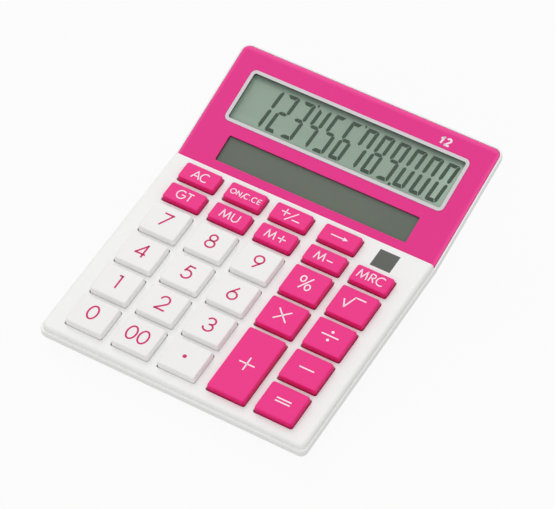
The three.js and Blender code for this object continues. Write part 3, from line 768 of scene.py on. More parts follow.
# Strokes of the letters, for a height of 1, from the lower left corner.
LETTERS = {
    "A": [[(0.0, 0.0), (0.46, 1.0), (0.92, 0.0)], [(0.16, 0.34), (0.76, 0.34)]],
    "C": [arc(0.5, 0.5, 0.5, 0.52, 52, 308, steps=24)],
    "E": [[(0.56, 1.0), (0.0, 1.0), (0.0, 0.0), (0.56, 0.0)], [(0.0, 0.52), (0.5, 0.52)]],
    "G": [arc(0.51, 0.5, 0.51, 0.52, 48, 360, steps=26), [(1.03, 0.5), (0.58, 0.5)]],
    "M": [[(0.0, 0.0), (0.18, 1.0), (0.55, 0.06), (0.92, 1.0), (1.1, 0.0)]],
    "N": [[(0.0, 0.0), (0.0, 1.0), (0.72, 0.0), (0.72, 1.0)]],
    "O": [oval(0.5, 0.5, 0.5, 0.5)],
    "R": [[(0.0, 0.0), (0.0, 1.0), (0.26, 1.0), *arc(0.26, 0.745, 0.26, 0.255, 90, -90), (0.0, 0.49)],
          [(0.24, 0.49), (0.56, 0.0)]],
    "T": [[(0.0, 1.0), (0.7, 1.0)], [(0.38, 1.0), (0.38, 0.0)]],
    "U": [[(0.0, 1.0), *arc(0.38, 0.38, 0.38, 0.38, 180, 360), (0.76, 1.0)]],
    "/": [[(0.0, -0.2), (0.55, 1.14)]],
    ".": [[(0.0, 0.0), (0.0, 0.12)]],
}

# Words: each letter with its left side, then the base line, both from the key's middle.
WORDS = {
    "key_ac": ([("A", -2.95), ("C", 0.45)], -1.84),
    "key_gt": ([("G", -3.1), ("T", 0.7)], -1.73),
    "key_mu": ([("M", -3.65), ("U", 0.95)], -1.7),
    "key_m_plus": ([("M", -3.95)], -1.7),
    "key_m_minus": ([("M", -3.7)], -1.7),
    "key_mrc": ([("M", -5.45), ("R", -0.75), ("C", 1.9)], -1.36),
    "key_on_c_ce": ([("O", -5.9), ("N", -3.25), ("/", -1.15), ("C", -0.3), (".", 2.25), ("C", 2.85),
                     ("E", 5.2)], -1.12),
}

# Strokes of the figures and signs, from the key's middle.
STROKES_OF = {
    "key_0": [oval(-0.25, 0.6, 1.8, 2.8)],
    "key_00": [oval(-2.72, 0.0, 1.8, 2.75), oval(1.98, 0.0, 1.8, 2.75)],
    "key_1": [[(-0.8, 3.1), (0.45, 3.1), (0.45, -2.4)]],
    "key_2": [[*arc(0.08, 1.35, 1.75, 1.8, 172, -42), (-1.8, -2.65), (2.05, -2.65)]],
    "key_3": [[*arc(0.11, 1.6, 1.55, 1.4, 165, -90), *arc(0.11, -1.1, 1.8, 1.55, 90, -175)[1:]]],
    "key_4": [[(2.1, -0.85), (-1.85, -0.85), (1.15, 3.1), (1.15, -2.4)]],
    "key_5": [[(2.0, 2.85), (-0.35, 2.85), (-0.95, 0.75), *arc(0.15, -0.75, 1.85, 1.8, 128, -150)]],
    "key_6": [oval(0.21, -1.0, 1.75, 1.65), [(1.15, 2.9), (-1.25, -0.15)]],
    "key_7": [[(-1.8, 3.05), (1.75, 3.05), (-1.3, -2.4)]],
    "key_8": [oval(0.38, 1.7, 1.4, 1.35), oval(0.38, -1.1, 1.75, 1.5)],
    "key_9": [oval(0.51, 1.25, 1.75, 1.65), [(2.0, 0.35), (-0.35, -2.7)]],
    "key_plus": cross(0.12, 0.0, 3.05, 2.9),
    "key_minus": [[(-2.65, 0.15), (3.1, 0.15)]],
    "key_equals": [[(-2.65, 1.0), (3.1, 1.0)], [(-2.65, -0.3), (3.1, -0.3)]],
    "key_multiply": [[(-2.4, -2.3), (2.6, 2.5)], [(-2.4, 2.5), (2.6, -2.3)]],
    "key_divide": [[(-3.3, 0.4), (3.35, 0.4)]],
    "key_percent": [oval(-1.68, 1.65, 0.95, 1.25), oval(1.42, -1.15, 0.95, 1.25),
                    [(-1.7, -2.55), (1.75, 3.05)]],
    "key_root": [[(-3.85, 1.15), (-2.35, -2.05), (-0.45, 3.15), (3.65, 3.15)]],
    "key_sign": [*cross(-2.4, 0.63, 1.7, 1.6), [(-1.4, -2.45), (2.1, 2.0)], [(1.1, -1.4), (4.1, -1.4)]],
    "key_arrow": [[(-3.5, -0.07), (1.7, -0.07)]],
    "key_m_plus": cross(2.5, -0.13, 1.6, 1.6),
    "key_m_minus": [[(1.1, -0.5), (3.45, -0.5)]],
}
DOTS = {"key_divide": [(0.12, 2.2, 0.55), (0.12, -1.45, 0.55)], "key_point": [(-0.25, 0.2, 0.78)]}
ARROW_HEAD = [(3.3, -0.07), (1.5, 0.75), (1.5, -0.89)]


def stroke_tree():
    """Node tree that gives every stroke of a legend its width and its thickness of ink."""
    tree = MeshTree("printed_strokes",
                    {"Strokes": "Geometry", "Stroke Width": "Float", "Ink Thickness": "Float"})
    given = tree.given
    upright = tree.node("GeometryNodeSetCurveNormal", {"mode": "Z_UP"}, {"Curve": given["Strokes"]})
    section = tree.node("GeometryNodeCurvePrimitiveQuadrilateral", None,
                        {"Width": given["Stroke Width"], "Height": given["Ink Thickness"]})
    swept = tree.node("GeometryNodeCurveToMesh", None,
                      {"Curve": upright, "Profile Curve": section, "Fill Caps": True})
    return tree.ended(swept)


STROKES = stroke_tree()


def straight_runs(points, width):
    """The stroke's points parted at its sharp corners, where both runs reach on to fill the corner."""
    if points[0] == points[-1] and len(points) > 3:
        return [points]
    places = [Vector(point) for point in points]
    places = [places[0], *(b for a, b in zip(places, places[1:]) if (b - a).length > 0.001)]
    runs, run = [], [places[0]]
    for before, here, after in zip(places, places[1:], places[2:]):
        bend = (here - before).angle(after - here)
        if bend < CORNER_BEND:
            run.append(here)
            continue
        reach = width / 2 * min(1.0, math.tan(bend / 2))
        run.append(here + (here - before).normalized() * reach)
        runs.append(run)
        run = [here - (after - here).normalized() * reach]
    return [*runs, [*run, places[-1]]]


def stroked(strokes, width, ink, z):
    """The strokes, in a plane's millimetres, as one thin solid print at height z."""
    curve = bpy.data.curves.new("strokes", "CURVE")
    curve.dimensions = "3D"
    for points in (run for stroke in strokes for run in straight_runs(stroke, width)):
        closed = tuple(points[0]) == tuple(points[-1])
        kept = points[:-1] if closed else points
        spline = curve.splines.new("POLY")
        spline.points.add(len(kept) - 1)
        spline.use_cyclic_u = closed
        for point, (x, y) in zip(spline.points, kept):
            point.co = (x, y, z, 1)
    return run_tree(STROKES, in_scene(curve), {"Stroke Width": width, "Ink Thickness": INK, "Finish": ink})


def dot(x, y, radius, z):
    return disc(radius, z - INK / 2, z + INK / 2, x, y, sides=24)


def spelled(letters, height, base):
    """Strokes of a word, from letters with their left sides."""
    return [[(left + x * height, base + y * height) for x, y in points]
            for letter, left in letters for points in LETTERS[letter]]


def legend(name, small, height, ink):
    """A key's legend about the key's middle, as one thin print on its top face."""
    z = height + INK / 2
    letters, base = WORDS.get(name, ([], 0))
    long_word = len(letters) > 4
    kind = "figure" if ink == PINK_INK else "long word" if long_word else "small key" if small else "key"
    text_height = SMALL_TEXT_HEIGHT if long_word else TEXT_HEIGHT
    strokes = STROKES_OF.get(name, []) + spelled(letters, text_height, base)
    prints = [stroked(strokes, STROKE_WIDTHS[kind], ink, z)] if strokes else []
    prints += [dot(x, y, radius, z) for x, y, radius in DOTS.get(name, [])]
    if name == "key_arrow":
        prints.append(slab(ARROW_HEAD, z - INK / 2, z + INK / 2))
    return merged(prints)


def make_keys():
    caps = {}
    for keys, plastic, ink, slot in ((WHITE_KEYS, WHITE_KEY, PINK_INK, "white_key"),
                                     (PINK_KEYS, PINK_KEY, WHITE_INK, "pink_key")):
        for name, column, row in keys:
            x, y, depth, height = key_place(name, column, row)
            if depth not in caps:
                caps[depth] = key_cap(depth, height)
            cap = in_scene(caps[depth].data.copy())
            body = name + "_cap"
            place = KEYPAD @ Matrix.Translation((x, y, 0))
            fit(name + "_moulding", cap, place, plastic, body, slot, [name])
            if plastic == PINK_KEY:
                # The sides of the pink keys take the painted-shade copy of their pink.
                paint_walls(cap, place, PINK_SIDE_PAINTED_SHADE, lambda middle, normal: abs(normal.z) < 0.5)
            print_on_cap = legend(name, row.startswith("small"), height, ink)
            fit(name + "_legend", print_on_cap, place, ink, body, slot)
    for cap in caps.values():
        bpy.data.objects.remove(cap)


def make_rubber_keypad():
    """A moulded rubber sheet, with a dome under every key."""
    sheet = stack(MAT_OUTLINE, [(0, MAT_BOTTOM), *rounding(0, MAT_TOP, 0.2, 3)], 6)
    holes = [disc(POST_RADIUS + FIT_GAP, MAT_BOTTOM - PAST, MAT_TOP + PAST, x, y, 24)
             for x, y in BOARD_SCREWS]
    fit("rubber_sheet", cut(sheet, holes), KEYPAD, PALE_RUBBER, "case", "mat_rubber", ["rubber_keypad"])
    foot, crown, soft = 3.0, 1.8, 0.12
    profile = [(foot, MAT_TOP - 0.1), (foot, MAT_TOP), (foot - 0.3, MAT_TOP + soft),
               (crown + 0.15, DOME_TOP - soft), (crown, DOME_TOP)]
    for name, column, row in WHITE_KEYS + PINK_KEYS:
        x, y = key_place(name, column, row)[:2]
        dome = fit(name + "_dome", turned(profile, x, y, 24), KEYPAD, PALE_RUBBER, "case", "mat_rubber")
        name + "_press"
        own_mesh(dome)


# ---- upper case ----------------------------------------------------------------------------------


def upper_outline(front, back):
    """The outline of deck or cover, which stands inside the rim of the tray."""
    side = UPPER_INSET["side"]
    return {"half": CASE_WIDTH / 2 - side, "front": front, "back": back, "corner": CORNER_RADIUS - side}


def opening(outline, edge=0.18, steps=6):
    """A cutter for a hole through the plate, whose upper edge is softly rounded."""
    return stack(outline, [(0, -PLATE - PAST), *flaring(0, 0, edge), (-edge, PAST)], steps)


def posts(places, bottom):
    """Posts under the plate, which they run into a little way."""
    root = 0.2 - PLATE
    return [disc(POST_RADIUS, bottom, root, x, y, 24) for x, y in places]


def pilot_holes(places, bottom, screw):
    """Cutters for the screws' holes in the posts, which end inside the plate."""
    end = 0.5 - PLATE
    return [disc(screw["shank"] + FIT_GAP, bottom - PAST, end, x, y, 24) for x, y in places]


def make_deck():
    """A plate with rounded edges and key openings, a skirt inside the tray's rim, a wall along the bend."""
    skirt, behind_bend = 1.3, 5
    outline = upper_outline(UPPER_INSET["front"] - KEYPAD_LENGTH, 3 * CORNER_RADIUS)
    outer = stack(outline, [(0, -SKIRT_DEPTH), *rounding(0, 0, EDGE_RADIUS)], 12)
    below = -SKIRT_DEPTH - PAST
    pocket = stack({**outline, "back": skirt - REAR_WALL}, [(skirt, below), (skirt, -PLATE)], 6)
    under_wall = block(outline["half"] - skirt, -behind_bend, behind_bend, below, REAR_WALL_BOTTOM)
    shell = mitred(cut(cut(outer, [pocket]), [under_wall]), -1, SEAM)

    def along_bend(edge):
        half_tilt = HEAD_TILT / 2
        beside = all(abs(v.co.y * math.cos(half_tilt) + v.co.z * math.sin(half_tilt) + SEAM) < 0.001
                     for v in edge.verts)
        return beside and all(v.co.z > -EDGE_RADIUS - 0.01 for v in edge.verts)

    softened(shell, 0.3, chosen=along_bend)
    case_bottom, board_bottom = KEYPAD_SEAT["top"] + FIT_GAP, BOARD_TOP + FIT_GAP
    combined(shell, posts(KEYPAD_SCREWS, case_bottom) + posts(BOARD_SCREWS, board_bottom), "UNION")
    holes = [*pilot_holes(KEYPAD_SCREWS, case_bottom, CASE_SCREW),
             *pilot_holes(BOARD_SCREWS, board_bottom, BOARD_SCREW)]
    for key in WHITE_KEYS + PINK_KEYS:
        x, y, depth = key_place(*key)[:3]
        outline = {**key_outline(depth, KEY_GAP), "corner": OPENING_CORNER}
        holes.append(moved(opening(outline), x - OPENING_PLAY, y))
    fit("deck_moulding", cut(shell, holes), KEYPAD, WHITE_CASE, "case", "white_case", ["keypad_deck"])


def deck_hooks():
    """Three hooks on the cover's lower edge that reach under the rear wall of the deck."""
    top = REAR_WALL_BOTTOM - FIT_GAP
    half, thickness, back, spread = 6, 0.8, 1.6, 36
    turn = Matrix.Translation((0, 0, HEAD_DROP)) @ Matrix.Rotation(-HEAD_TILT, 4, "X")
    hooks = []
    for x in (-spread, 0, spread):
        reach = block(half, -REAR_WALL - FIT_GAP, back, top - thickness, top)
        reach.data.transform(turn)
        root = block(half, 0.5, back, HEAD_DROP + top - thickness, -PLATE + 0.3)
        hooks.append(moved(joined(reach, [root]), x))
    return hooks


def make_cover():
    """A flat plate with crisp edges and two openings, in the rim of the tray above the bend."""
    outline = upper_outline(-3 * CORNER_RADIUS, HEAD_LENGTH - UPPER_INSET["side"])
    plate = stack(outline, [(0, -PLATE), *rounding(0, 0, COVER_EDGE, 6)], 12)
    shell = mitred(plate, 1, SEAM, HEAD_DROP)
    bottom = DISPLAY_SEAT["top"] + FIT_GAP + HEAD_DROP
    combined(shell, [*deck_hooks(), *posts(DISPLAY_SCREWS, bottom)], "UNION")
    pocket = stack(grown(SOLAR_PANEL, FIT_GAP), [(0, -PLATE - PAST), (0, SOLAR_TOP + 0.02)], 4)
    cut(shell, [opening(grown(FRAME_OUTLINE, FRAME_GAP), edge=0.06, steps=10),
                opening(SOLAR_OUTLINE, edge=0.1), *pilot_holes(DISPLAY_SCREWS, bottom, CASE_SCREW)])
    cut(shell, [pocket])
    cover = fit("cover_moulding", shell, HEAD, PINK_GLOSS, "case", "pink_gloss", ["display_cover"])
    solar = grown(SOLAR_OUTLINE, 0.2)

    # Painted shade: the walls of the solar opening, and the walls beside the tray's rim at the left and at
    # the back, take a dark pink.
    def shaded_wall(middle, normal):
        upright = abs(normal.z) < 0.5 and middle.z > -PLATE
        beside_solar = abs(middle.x) < solar["half"] and solar["front"] < middle.y < solar["back"]
        beside_rim = middle.x < 0.5 - outline["half"] or middle.y > outline["back"] - 0.5
        return upright and (beside_solar or beside_rim and middle.z < -0.3)

    paint_walls(cover, HEAD, PINK_WALL_SHADE, shaded_wall)


# ---- display -------------------------------------------------------------------------------------


def make_frame():
    """A bright ring let into the cover, whose thinner skirt holds the window."""
    below = -3
    top = rounding(0, FRAME_PROUD, FRAME_EDGE, 4)
    outer = stack(FRAME_OUTLINE, [(0, LCD_TOP + FIT_GAP), (0, 0), *top], 10)
    lip = [*flaring(FRAME_RIM, FRAME_PROUD, FRAME_EDGE), (FRAME_RIM - FRAME_EDGE, PAST)]
    middle = stack(FRAME_OUTLINE, [(FRAME_RIM, below), *lip], 10)
    seat = stack(FRAME_OUTLINE, [(FRAME_SKIRT, below), (FRAME_SKIRT, WINDOW_SEAT)], 10)
    trim = cut(cut(outer, [middle]), [seat])
    fit("frame_ring", trim, HEAD, SILVER_TRIM, "case", "silver_trim", ["lcd_frame"])

    def inner_wall(middle, normal):
        return abs(normal.z) < 0.4 and middle.z < -0.05

    paint_walls(trim, HEAD, TRIM_SHADE, inner_wall)


# The lit bars of each digit, and the shape of a thousands mark.
SHOWN = ("bc", "abged", "abgcd", "fgbc", "afgcd", "afgecd", "fabc", "abcdefg", "abcdfg",
         "abcdef", "abcdef", "abcdef")
COMMA = [(-0.45, 0.35), (0.0, 0.65), (0.45, 0.3), (0.35, -0.35), (0.0, -0.75), (-0.15, -0.15)]


def segment_shapes():
    """Outlines of the seven bars of a digit, from its lower left corner, upright."""
    w, h, m, t = DIGIT_WIDTH, DIGIT_HEIGHT, DIGIT_MIDDLE, SEGMENT
    return {
        "a": [(0, h - 0.35), (0.35, h), (w - 0.9, h), (w - 1.65, h - 1.3), (1.0, h - 1.3)],
        "b": [(w - t, h - 1.35), (w - 0.65, h - 0.1), (w, h - 0.6),
              (w, m + 0.9), (w - 0.55, m + 0.35), (w - t, m + 1.0)],
        "c": [(w - t, m - 0.9), (w - 0.6, m - 0.2), (w, m - 0.75), (w, 0.9), (w - 0.5, 0.15), (w - t, 1.4)],
        "d": [(0.1, 0.4), (0.55, 0), (w - 0.85, 0), (w - 1.6, 1.35), (1.05, 1.35)],
        "e": [(0, 0.75), (0.25, 0.75), (t, 1.75), (t, m - 0.9), (0.6, m - 0.3), (0, m - 0.8)],
        "f": [(0, h - 0.75), (0.25, h - 0.8), (t, h - 1.7), (t, m + 1.2), (0.65, m + 0.35), (0, m + 0.9)],
        "g": [(0.75, m), (1.4, m + 0.62), (w - 1.34, m + 0.62),
              (w - 0.74, m), (w - 1.34, m - 0.62), (1.4, m - 0.62)],
    }


def widened(outline, by):
    """The outline with every side moved outwards."""
    points = [Vector(point) for point in anticlockwise(outline)]
    wide = []
    for before, here, after in zip(points[-1:] + points[:-1], points, points[1:] + points[:1]):
        first = (here - before).normalized()
        second = (after - here).normalized()
        out_1 = Vector((first.y, -first.x))
        out_2 = Vector((second.y, -second.x))
        wide.append(tuple(here + by * (out_1 + out_2) / (1 + out_1.dot(out_2))))
    return wide


def slanted(outline, x):
    return [(x + px + py * DIGIT_SLANT, DIGIT_BASE + py) for px, py in outline]


def make_display():
    """The dark figures in the crystal: twelve digits, a decimal point and two thousands marks."""
    spread, low, high = 0.07, LCD_TOP + 0.01, LCD_TOP + 0.03
    shapes = {letter: widened(shape, spread) for letter, shape in segment_shapes().items()}
    outlines = [slanted(shapes[letter], FIRST_DIGIT + i * DIGIT_PITCH)
                for i, lit in enumerate(SHOWN) for letter in lit]
    dot_radius = 0.6
    outlines.append(arc(*DECIMAL_POINT, dot_radius, dot_radius, 0, 330, 11))
    outlines += [[(x + px, y + py) for px, py in COMMA] for x, y in COMMAS]
    plates = [slab(outline, low, high) for outline in outlines]
    fit("display_digits", merged(plates), HEAD, CRYSTAL_INK, "case", "lcd_grey")


# ---- small prints --------------------------------------------------------------------------------


def make_prints():
    badge = block(BADGE["half"], BADGE["front"], BADGE["back"], 0.0, INK, BADGE["x"])
    fit("deck_badge", badge, KEYPAD, GREY_INK, "case", "white_case")
    one = [(30.85, 45.5), (31.9, 46.2), (31.35, 43.6)]
    two = [*arc(34.0, 45.65, 0.78, 0.68, 165, -30), (33.1, 43.55), (34.8, 43.55)]
    number = stroked([one, two], NUMBER_STROKE, WHITE_INK, INK / 2)
    fit("digits_number", number, HEAD, WHITE_INK, "case", "pink_gloss")


# ---- rear case -----------------------------------------------------------------------------------


def on_plane(solid, slope):
    """Turns a solid drawn on a tilted plane through the bend into the case's own upright frame."""
    solid.data.transform(Matrix.Translation((0, 0, BEND_HEIGHT)) @ Matrix.Rotation(slope, 4, "X"))
    return solid


def side_point(along, height):
    """A point of the side view: distance along from the bend, height over the two planes through it."""
    slope = KEYPAD_SLOPE if along <= 0 else KEYPAD_SLOPE + HEAD_TILT
    y = -height * math.tan(HEAD_TILT / 2) if along == 0 else along
    return (y * math.cos(slope) - height * math.sin(slope),
            y * math.sin(slope) + height * math.cos(slope) + BEND_HEIGHT)


def below_skin(height):
    """Everything below a surface that runs parallel to the skin at the given height."""
    front = side_point(-KEYPAD_LENGTH, height)
    back = side_point(HEAD_LENGTH, height)
    half = CASE_WIDTH / 2 - 4
    return swept_across([(front[0], -PAST), (back[0], -PAST), back, side_point(0, height), front], half)


def tray_half(side, front, back, slope):
    """The outer and the inner solid of the tray on one side of the bend."""
    corner = CORNER_RADIUS if side > 0 else FRONT_CORNER_RADIUS
    outline = {"half": CASE_WIDTH / 2, "front": front, "back": back, "corner": corner}
    shelf = -SKIRT_DEPTH - FIT_GAP
    wall = [*under_rounding(-SLAB_DEPTH, SLAB_ROUNDING, 10), (0, -RIM["depth"] - RIM["softening"]),
            *rounding(0, -RIM["depth"], RIM["softening"], 4)[1:]]
    width = UPPER_INSET["side"] - (COVER_SEAM if side > 0 else SEAM)
    rim_front = front + UPPER_INSET["front"] - UPPER_INSET["side"]
    rim = {**outline, "front": rim_front, "corner": CORNER_RADIUS}
    outer = skin([*(ring(outline, inset, z, 12) for inset, z in wall),
                  *(ring(rim, inset, z, 12) for inset, z in ((width, -RIM["depth"]), (width, shelf))),
                  ring(outline, TRAY_WALL, shelf, 12)])
    inner = stack(outline, [(TRAY_WALL, TRAY_FLOOR), (TRAY_WALL, 0)], 12)
    return [on_plane(mitred(solid, side, -0.02), slope) for solid in (outer, inner)]


def wedge(inset, bottom, skin_height):
    """The wedge under the tray: drafted walls from the desk up to the underside of the tray."""
    top, softening = 32, 0.6
    rings = []
    for soften, z in [*under_rounding(bottom, softening, 5), (0, top)]:
        rise = z - FOOT_DEPTH
        outline = {**BASE, "half": BASE["half"] + rise * SIDE_DRAFT, "back": BASE["back"] + rise * REAR_DRAFT}
        rings.append(ring(outline, inset + soften, z, 12))
    return combined(skin(rings), [below_skin(skin_height)], "INTERSECT")


def board_ribs():
    """Thin upright walls on the floor of the wedge that carry the circuit board."""
    half, foot, above = 0.6, 1.2, 30
    front, back = BASE["front"] + 1, -4
    lengthways = [block(half, front, back, foot, above, x) for x in (-COLUMN_PITCH, COLUMN_PITCH)]
    crossways = [block(BASE["half"], y - half, y + half, foot, above) for y in (-62, -44, -26)]
    grid = joined(lengthways[0], [lengthways[1], *crossways])
    return combined(grid, [below_skin(TRAY_FLOOR)], "INTERSECT")


def battery_bay():
    """The block round the button cell, and the cutters for the cover's channel, the cell and its contacts."""
    half, front, back = BATTERY_COVER["half"], BATTERY_COVER["front"], BASE["back"] + 0.4
    side_wall, front_wall, cell_wall, floor, sill = 3.5, 2, 2.2, 1.2, 2
    walls = [block(half + side_wall, front - front_wall, back, floor, CHANNEL_ROOF + floor),
             disc(CELL_RADIUS + cell_wall, sill, CELL_TOP + cell_wall, 0, CELL_Y)]
    channel_front, behind = front - FIT_GAP, BASE["back"] + 8
    pocket_bottom, pocket_top, slot_top = CHANNEL_ROOF - PAST, CELL_TOP + 0.9, CELL_TOP + 3
    slot_half, slot_reach = 0.6, 1.6
    cuts = [block(half + FIT_GAP, channel_front, behind, -PAST, sill),
            block(half + BATTERY_COVER["tongue"] + FIT_GAP, channel_front, behind, TONGUE_SILL, CHANNEL_ROOF),
            disc(CELL_RADIUS + FIT_GAP, pocket_bottom, pocket_top, 0, CELL_Y)]
    for bottom, x in ((pocket_bottom, CELL_RADIUS + 0.75), (CELL_TOP, -2.0)):
        cuts.append(block(slot_half, CELL_Y - slot_reach, CELL_Y + slot_reach, bottom, slot_top, x))
    return walls, cuts


def screw_seats(slope, places, seat):
    """Posts in the tray, and their holes, counterbored from below for the heads of the case screws."""
    bore, wide = CASE_SCREW["shank"] + FIT_GAP, CASE_SCREW["radius"] + FIT_GAP
    step = seat["counterbore"] - SLAB_DEPTH
    hole = [(wide, -SLAB_DEPTH - PAST), (wide, step), (bore, step), (bore, 0)]
    stands, holes = [], []
    for x, y in places:
        stands.append(on_plane(disc(SEAT_RADIUS, 0.4 - SLAB_DEPTH, seat["top"], x, y), slope))
        holes.append(on_plane(turned(hole, x, y), slope))
    return stands, holes


def make_rear_case():
    keypad_outer, keypad_inner = tray_half(-1, -KEYPAD_LENGTH, 3 * CORNER_RADIUS, KEYPAD_SLOPE)
    head_outer, head_inner = tray_half(1, -3 * CORNER_RADIUS, HEAD_LENGTH, KEYPAD_SLOPE + HEAD_TILT)
    shell = joined(keypad_outer, [head_outer, wedge(0, FOOT_DEPTH, TRAY_FLOOR - 0.4)])
    for hollow in (keypad_inner, head_inner, wedge(FLOOR, FOOT_DEPTH + FLOOR, TRAY_FLOOR + 0.5)):
        cut(shell, [hollow])
    walls, cutters = battery_bay()
    stands, holes = screw_seats(KEYPAD_SLOPE, KEYPAD_SCREWS, KEYPAD_SEAT)
    more_stands, more_holes = screw_seats(KEYPAD_SLOPE + HEAD_TILT, DISPLAY_SCREWS, DISPLAY_SEAT)
    joined(shell, [board_ribs(), *walls, merged(stands + more_stands)])
    recesses = [disc(FOOT["radius"] + FIT_GAP, -PAST, FOOT_DEPTH + 0.8, x, y) for x, y in FEET]
    for tool in cutters:
        cut(shell, [tool])
    cut(shell, holes + more_holes + recesses)
    fit("rear_moulding", shell, UPRIGHT, WHITE_CASE, "case", "white_case", ["rear_case"])


def make_battery_cover():
    """A plate with softened edges that closes the bay, with a tongue along each side and grip grooves."""
    half, front, back, reach = (BATTERY_COVER[key] for key in ("half", "front", "back", "tongue"))
    plate = softened(block(half, front, back, FOOT_DEPTH, 2), 0.15, segments=2)
    tongues = block(half + reach, front + FIT_GAP, back - FIT_GAP, 1.7, 2.7)
    groove_half, groove_top = 5, FOOT_DEPTH + 0.5
    grooves = [block(groove_half, back - away, back - away + 1, 0, groove_top) for away in (4, 6, 8)]
    cut(joined(plate, [softened(tongues, 0.1, segments=2)]), grooves)
    fit("battery_cover_moulding", plate, UPRIGHT, WHITE_CASE, "battery_door", "white_case", ["battery_cover"])


def make_feet():
    """Short rubber discs, each with a flat underside and a softened edge around it."""
    radius, height, softening = FOOT["radius"], FOOT["height"], 0.4
    flat_radius = radius - 0.9
    edge = [(radius - inset, z) for inset, z in under_rounding(0, softening, 5)]
    profile = [(flat_radius, 0.0), *edge, (radius, height)]
    for i, (x, y) in enumerate(FEET):
        foot = turned(profile, x, y, 48)
        fit(f"foot_{i + 1}_pad", foot, UPRIGHT, FOOT_RUBBER, "case", "foot_rubber", [f"foot_{i + 1}"])


# ---- screws: one drawn screw, set at each of its places by a node tree ---------------------------


def drawn_screw(size):
    """Pan head with a cross recess, head down, with a ribbed shank for its thread."""
    radius, head, shank, length = (size[key] for key in ("radius", "head", "shank", "length"))
    dome = [(radius - 0.35 * radius * (1 - math.sin(a)), head * 0.6 * (1 - math.cos(a))) for a in quarter(5)]
    turns, point = 6, 0.6
    step = (length - head - point) / turns
    thread = [(shank - 0.14 * (i % 2), head + i * step) for i in range(turns + 1)]
    body = turned([*dome, (radius, head), *thread, (0.25, length)], sides=24)
    arm, thin, depth = radius * 0.55, 0.2, head * 0.5
    across, along = (block(half, -reach, reach, -PAST, depth) for half, reach in ((arm, thin), (thin, arm)))
    return cut(body, [joined(across, [along])])


def screw_tree():
    """Node tree that sets a screw at every point, each turned a little further than the last."""
    tree = MeshTree("set_screws", {"Places": "Geometry", "Screw": "Object", "Turn": "Float"})
    given = tree.given
    drawn = tree.node("GeometryNodeObjectInfo", None, {"Object": given["Screw"]}, output="Geometry")
    index = tree.node("GeometryNodeInputIndex")
    angles = tree.node("ShaderNodeCombineXYZ", None, {"Z": given["Turn"] * index})
    placed = tree.node("GeometryNodeInstanceOnPoints", None,
                       {"Points": given["Places"], "Instance": drawn, "Rotation": angles})
    return tree.ended(placed)


def make_screws():
    tree = screw_tree()
    case_height = -SLAB_DEPTH - CASE_SCREW["head"] - FIT_GAP
    board_height = BOARD_BOTTOM - FIT_GAP - BOARD_SCREW["head"]
    groups = (
        ("keypad_screws", CASE_SCREW, KEYPAD_SCREWS, case_height + KEYPAD_SEAT["counterbore"],
         KEYPAD, ["case_screw_1", "case_screw_2", "case_screw_3", "case_screw_4"]),
        ("display_screws", CASE_SCREW, DISPLAY_SCREWS,
         case_height + DISPLAY_SEAT["counterbore"] + HEAD_DROP, HEAD, ["case_screw_5", "case_screw_6"]),
        ("board_screws", BOARD_SCREW, BOARD_SCREWS, board_height,
         KEYPAD, ["board_screw_1", "board_screw_2", "board_screw_3", "board_screw_4"]),
    )
    for name, size, places, height, place, nodes in groups:
        screw = drawn_screw(size)
        bm = bmesh.new()
        for x, y in places:
            bm.verts.new((x, y, height))
        spread = run_tree(tree, solid_from(bm), {"Screw": screw, "Turn": 0.7, "Finish": STEEL})
        bpy.data.objects.remove(screw)
        fit(name, spread, place, STEEL, "case", "steel", nodes)


# ---- carried-over CAD nodes ----------------------------------------------------------------------


def coat_nodes():
    """Gives every CAD node a procedural finish, whether it stays in view or is stood for."""
    finishes = {"lcd_window": CLEAR_WINDOW, "lcd_panel": CRYSTAL_GLASS, "solar_panel": SOLAR_GLASS,
                "circuit_board": BOARD_GREEN, "chip": CHIP_BLACK, "lcd_ribbon": RIBBON_AMBER,
                "button_cell": STEEL, "contact_minus": STEEL, "contact_plus": STEEL}
    for name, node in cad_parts.items():
        node.data.materials.clear()
        node.data.materials.append(finishes.get(name, WHITE_CASE))


# ---- stage ---------------------------------------------------------------------------------------


def seen_directly(graph):
    """1 for what the camera sees straight, in a reflection or through glass, and 0 for light."""
    seen = 0.0
    for kind in ("Is Camera Ray", "Is Glossy Ray", "Is Transmission Ray"):
        ray = graph.node("ShaderNodeLightPath", output=kind)
        seen = graph.node("ShaderNodeMath", {"operation": "MAXIMUM"}, {0: ray, 1: seen})
    return seen


FLOOR_WHITENESS = 0.93


def floor_finish():
    """A pale floor that keeps a soft shadow, and looks white to the camera and in reflections."""
    finish = Finish("floor_paper", roughness=0.9)
    clouds = finish.noise(400, detail=2)
    finish.feed("Base Color", finish.mix(clouds, colour(202, 202, 202), colour(208, 208, 208)))
    white = finish.node("ShaderNodeEmission", None, {"Color": (1, 1, 1, 1), "Strength": 1.0})
    lit = Signal(finish, finish.shader.outputs[0])
    whiteness = seen_directly(finish) * FLOOR_WHITENESS
    blend = finish.node("ShaderNodeMixShader", None, {0: whiteness, 1: lit, 2: white})
    finish.put(finish.output.inputs["Surface"], blend)
    return finish.material


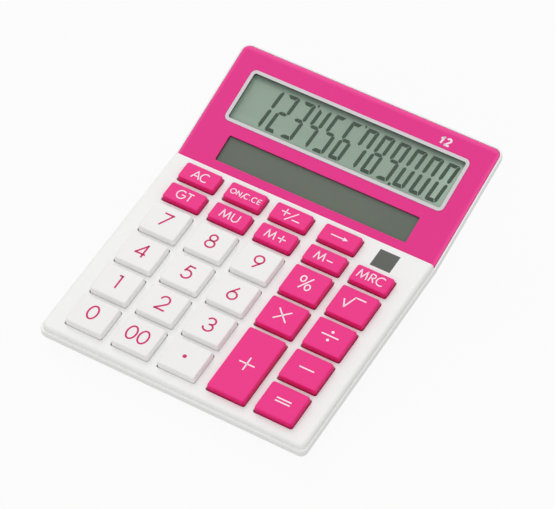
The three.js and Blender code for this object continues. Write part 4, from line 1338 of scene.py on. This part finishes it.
def make_stage():
    reach, depth = 1500, 20
    floor = block(reach, -reach, reach, -depth, 0)
    floor.name = "floor"
    floor.data.transform(Matrix.Scale(MM, 4))
    floor.data.materials.append(floor_finish())


def make_world(strength):
    """Even studio light, with a white surround for the camera and for reflections."""
    world = bpy.data.worlds.new("studio")
    bpy.context.scene.world = world
    world.use_nodes = True
    graph = Graph(world.node_tree)
    light, surround = (graph.node("ShaderNodeBackground", None, {"Color": (1, 1, 1, 1), "Strength": amount})
                       for amount in (strength, 1.0))
    blend = graph.node("ShaderNodeMixShader", None, {0: seen_directly(graph), 1: light, 2: surround})
    output = graph.tree.nodes.new("ShaderNodeOutputWorld")
    graph.put(output.inputs["Surface"], blend)


def make_lamp(name, place, size, power):
    """A square soft box that faces the object."""
    lamp = bpy.data.lights.new(name, "AREA")
    lamp.shape = "SQUARE"
    lamp.size = size
    lamp.energy = power
    holder = in_scene(lamp, name)
    holder.location = place
    holder.rotation_euler = (-Vector(place)).to_track_quat("-Z", "Y").to_euler()


def make_camera():
    camera = bpy.data.cameras.new("viewpoint")
    camera.lens = 215.87
    camera.sensor_width = 36.0
    camera.clip_start = 0.05
    camera.clip_end = 10.0
    holder = in_scene(camera, "viewpoint")
    look = Vector((-0.36191, 0.58034, -0.72954))
    roll = Matrix.Rotation(math.radians(-0.414), 4, "Z")
    turn = look.to_track_quat("-Z", "Y").to_matrix().to_4x4() @ roll
    place = Vector((422.24, BEND_Y - 694.016, 861.39)) * MM
    holder.matrix_world = Matrix.Translation(place) @ turn
    bpy.context.scene.camera = holder


# ---- assembly ------------------------------------------------------------------------------------

make_camera()
make_world(0.66)
make_stage()
make_lamp("key_light", (-0.75, 0.75, 1.1), 0.9, 5.2)
make_lamp("fill_light", (0.4, -1.05, 1.15), 1.2, 5.5)
bpy.context.scene.view_settings.view_transform = "Standard"

coat_nodes()
make_rear_case()
make_battery_cover()
make_feet()
make_screws()
make_deck()
make_cover()
make_frame()
make_display()
make_keys()
make_rubber_keypad()
make_prints()
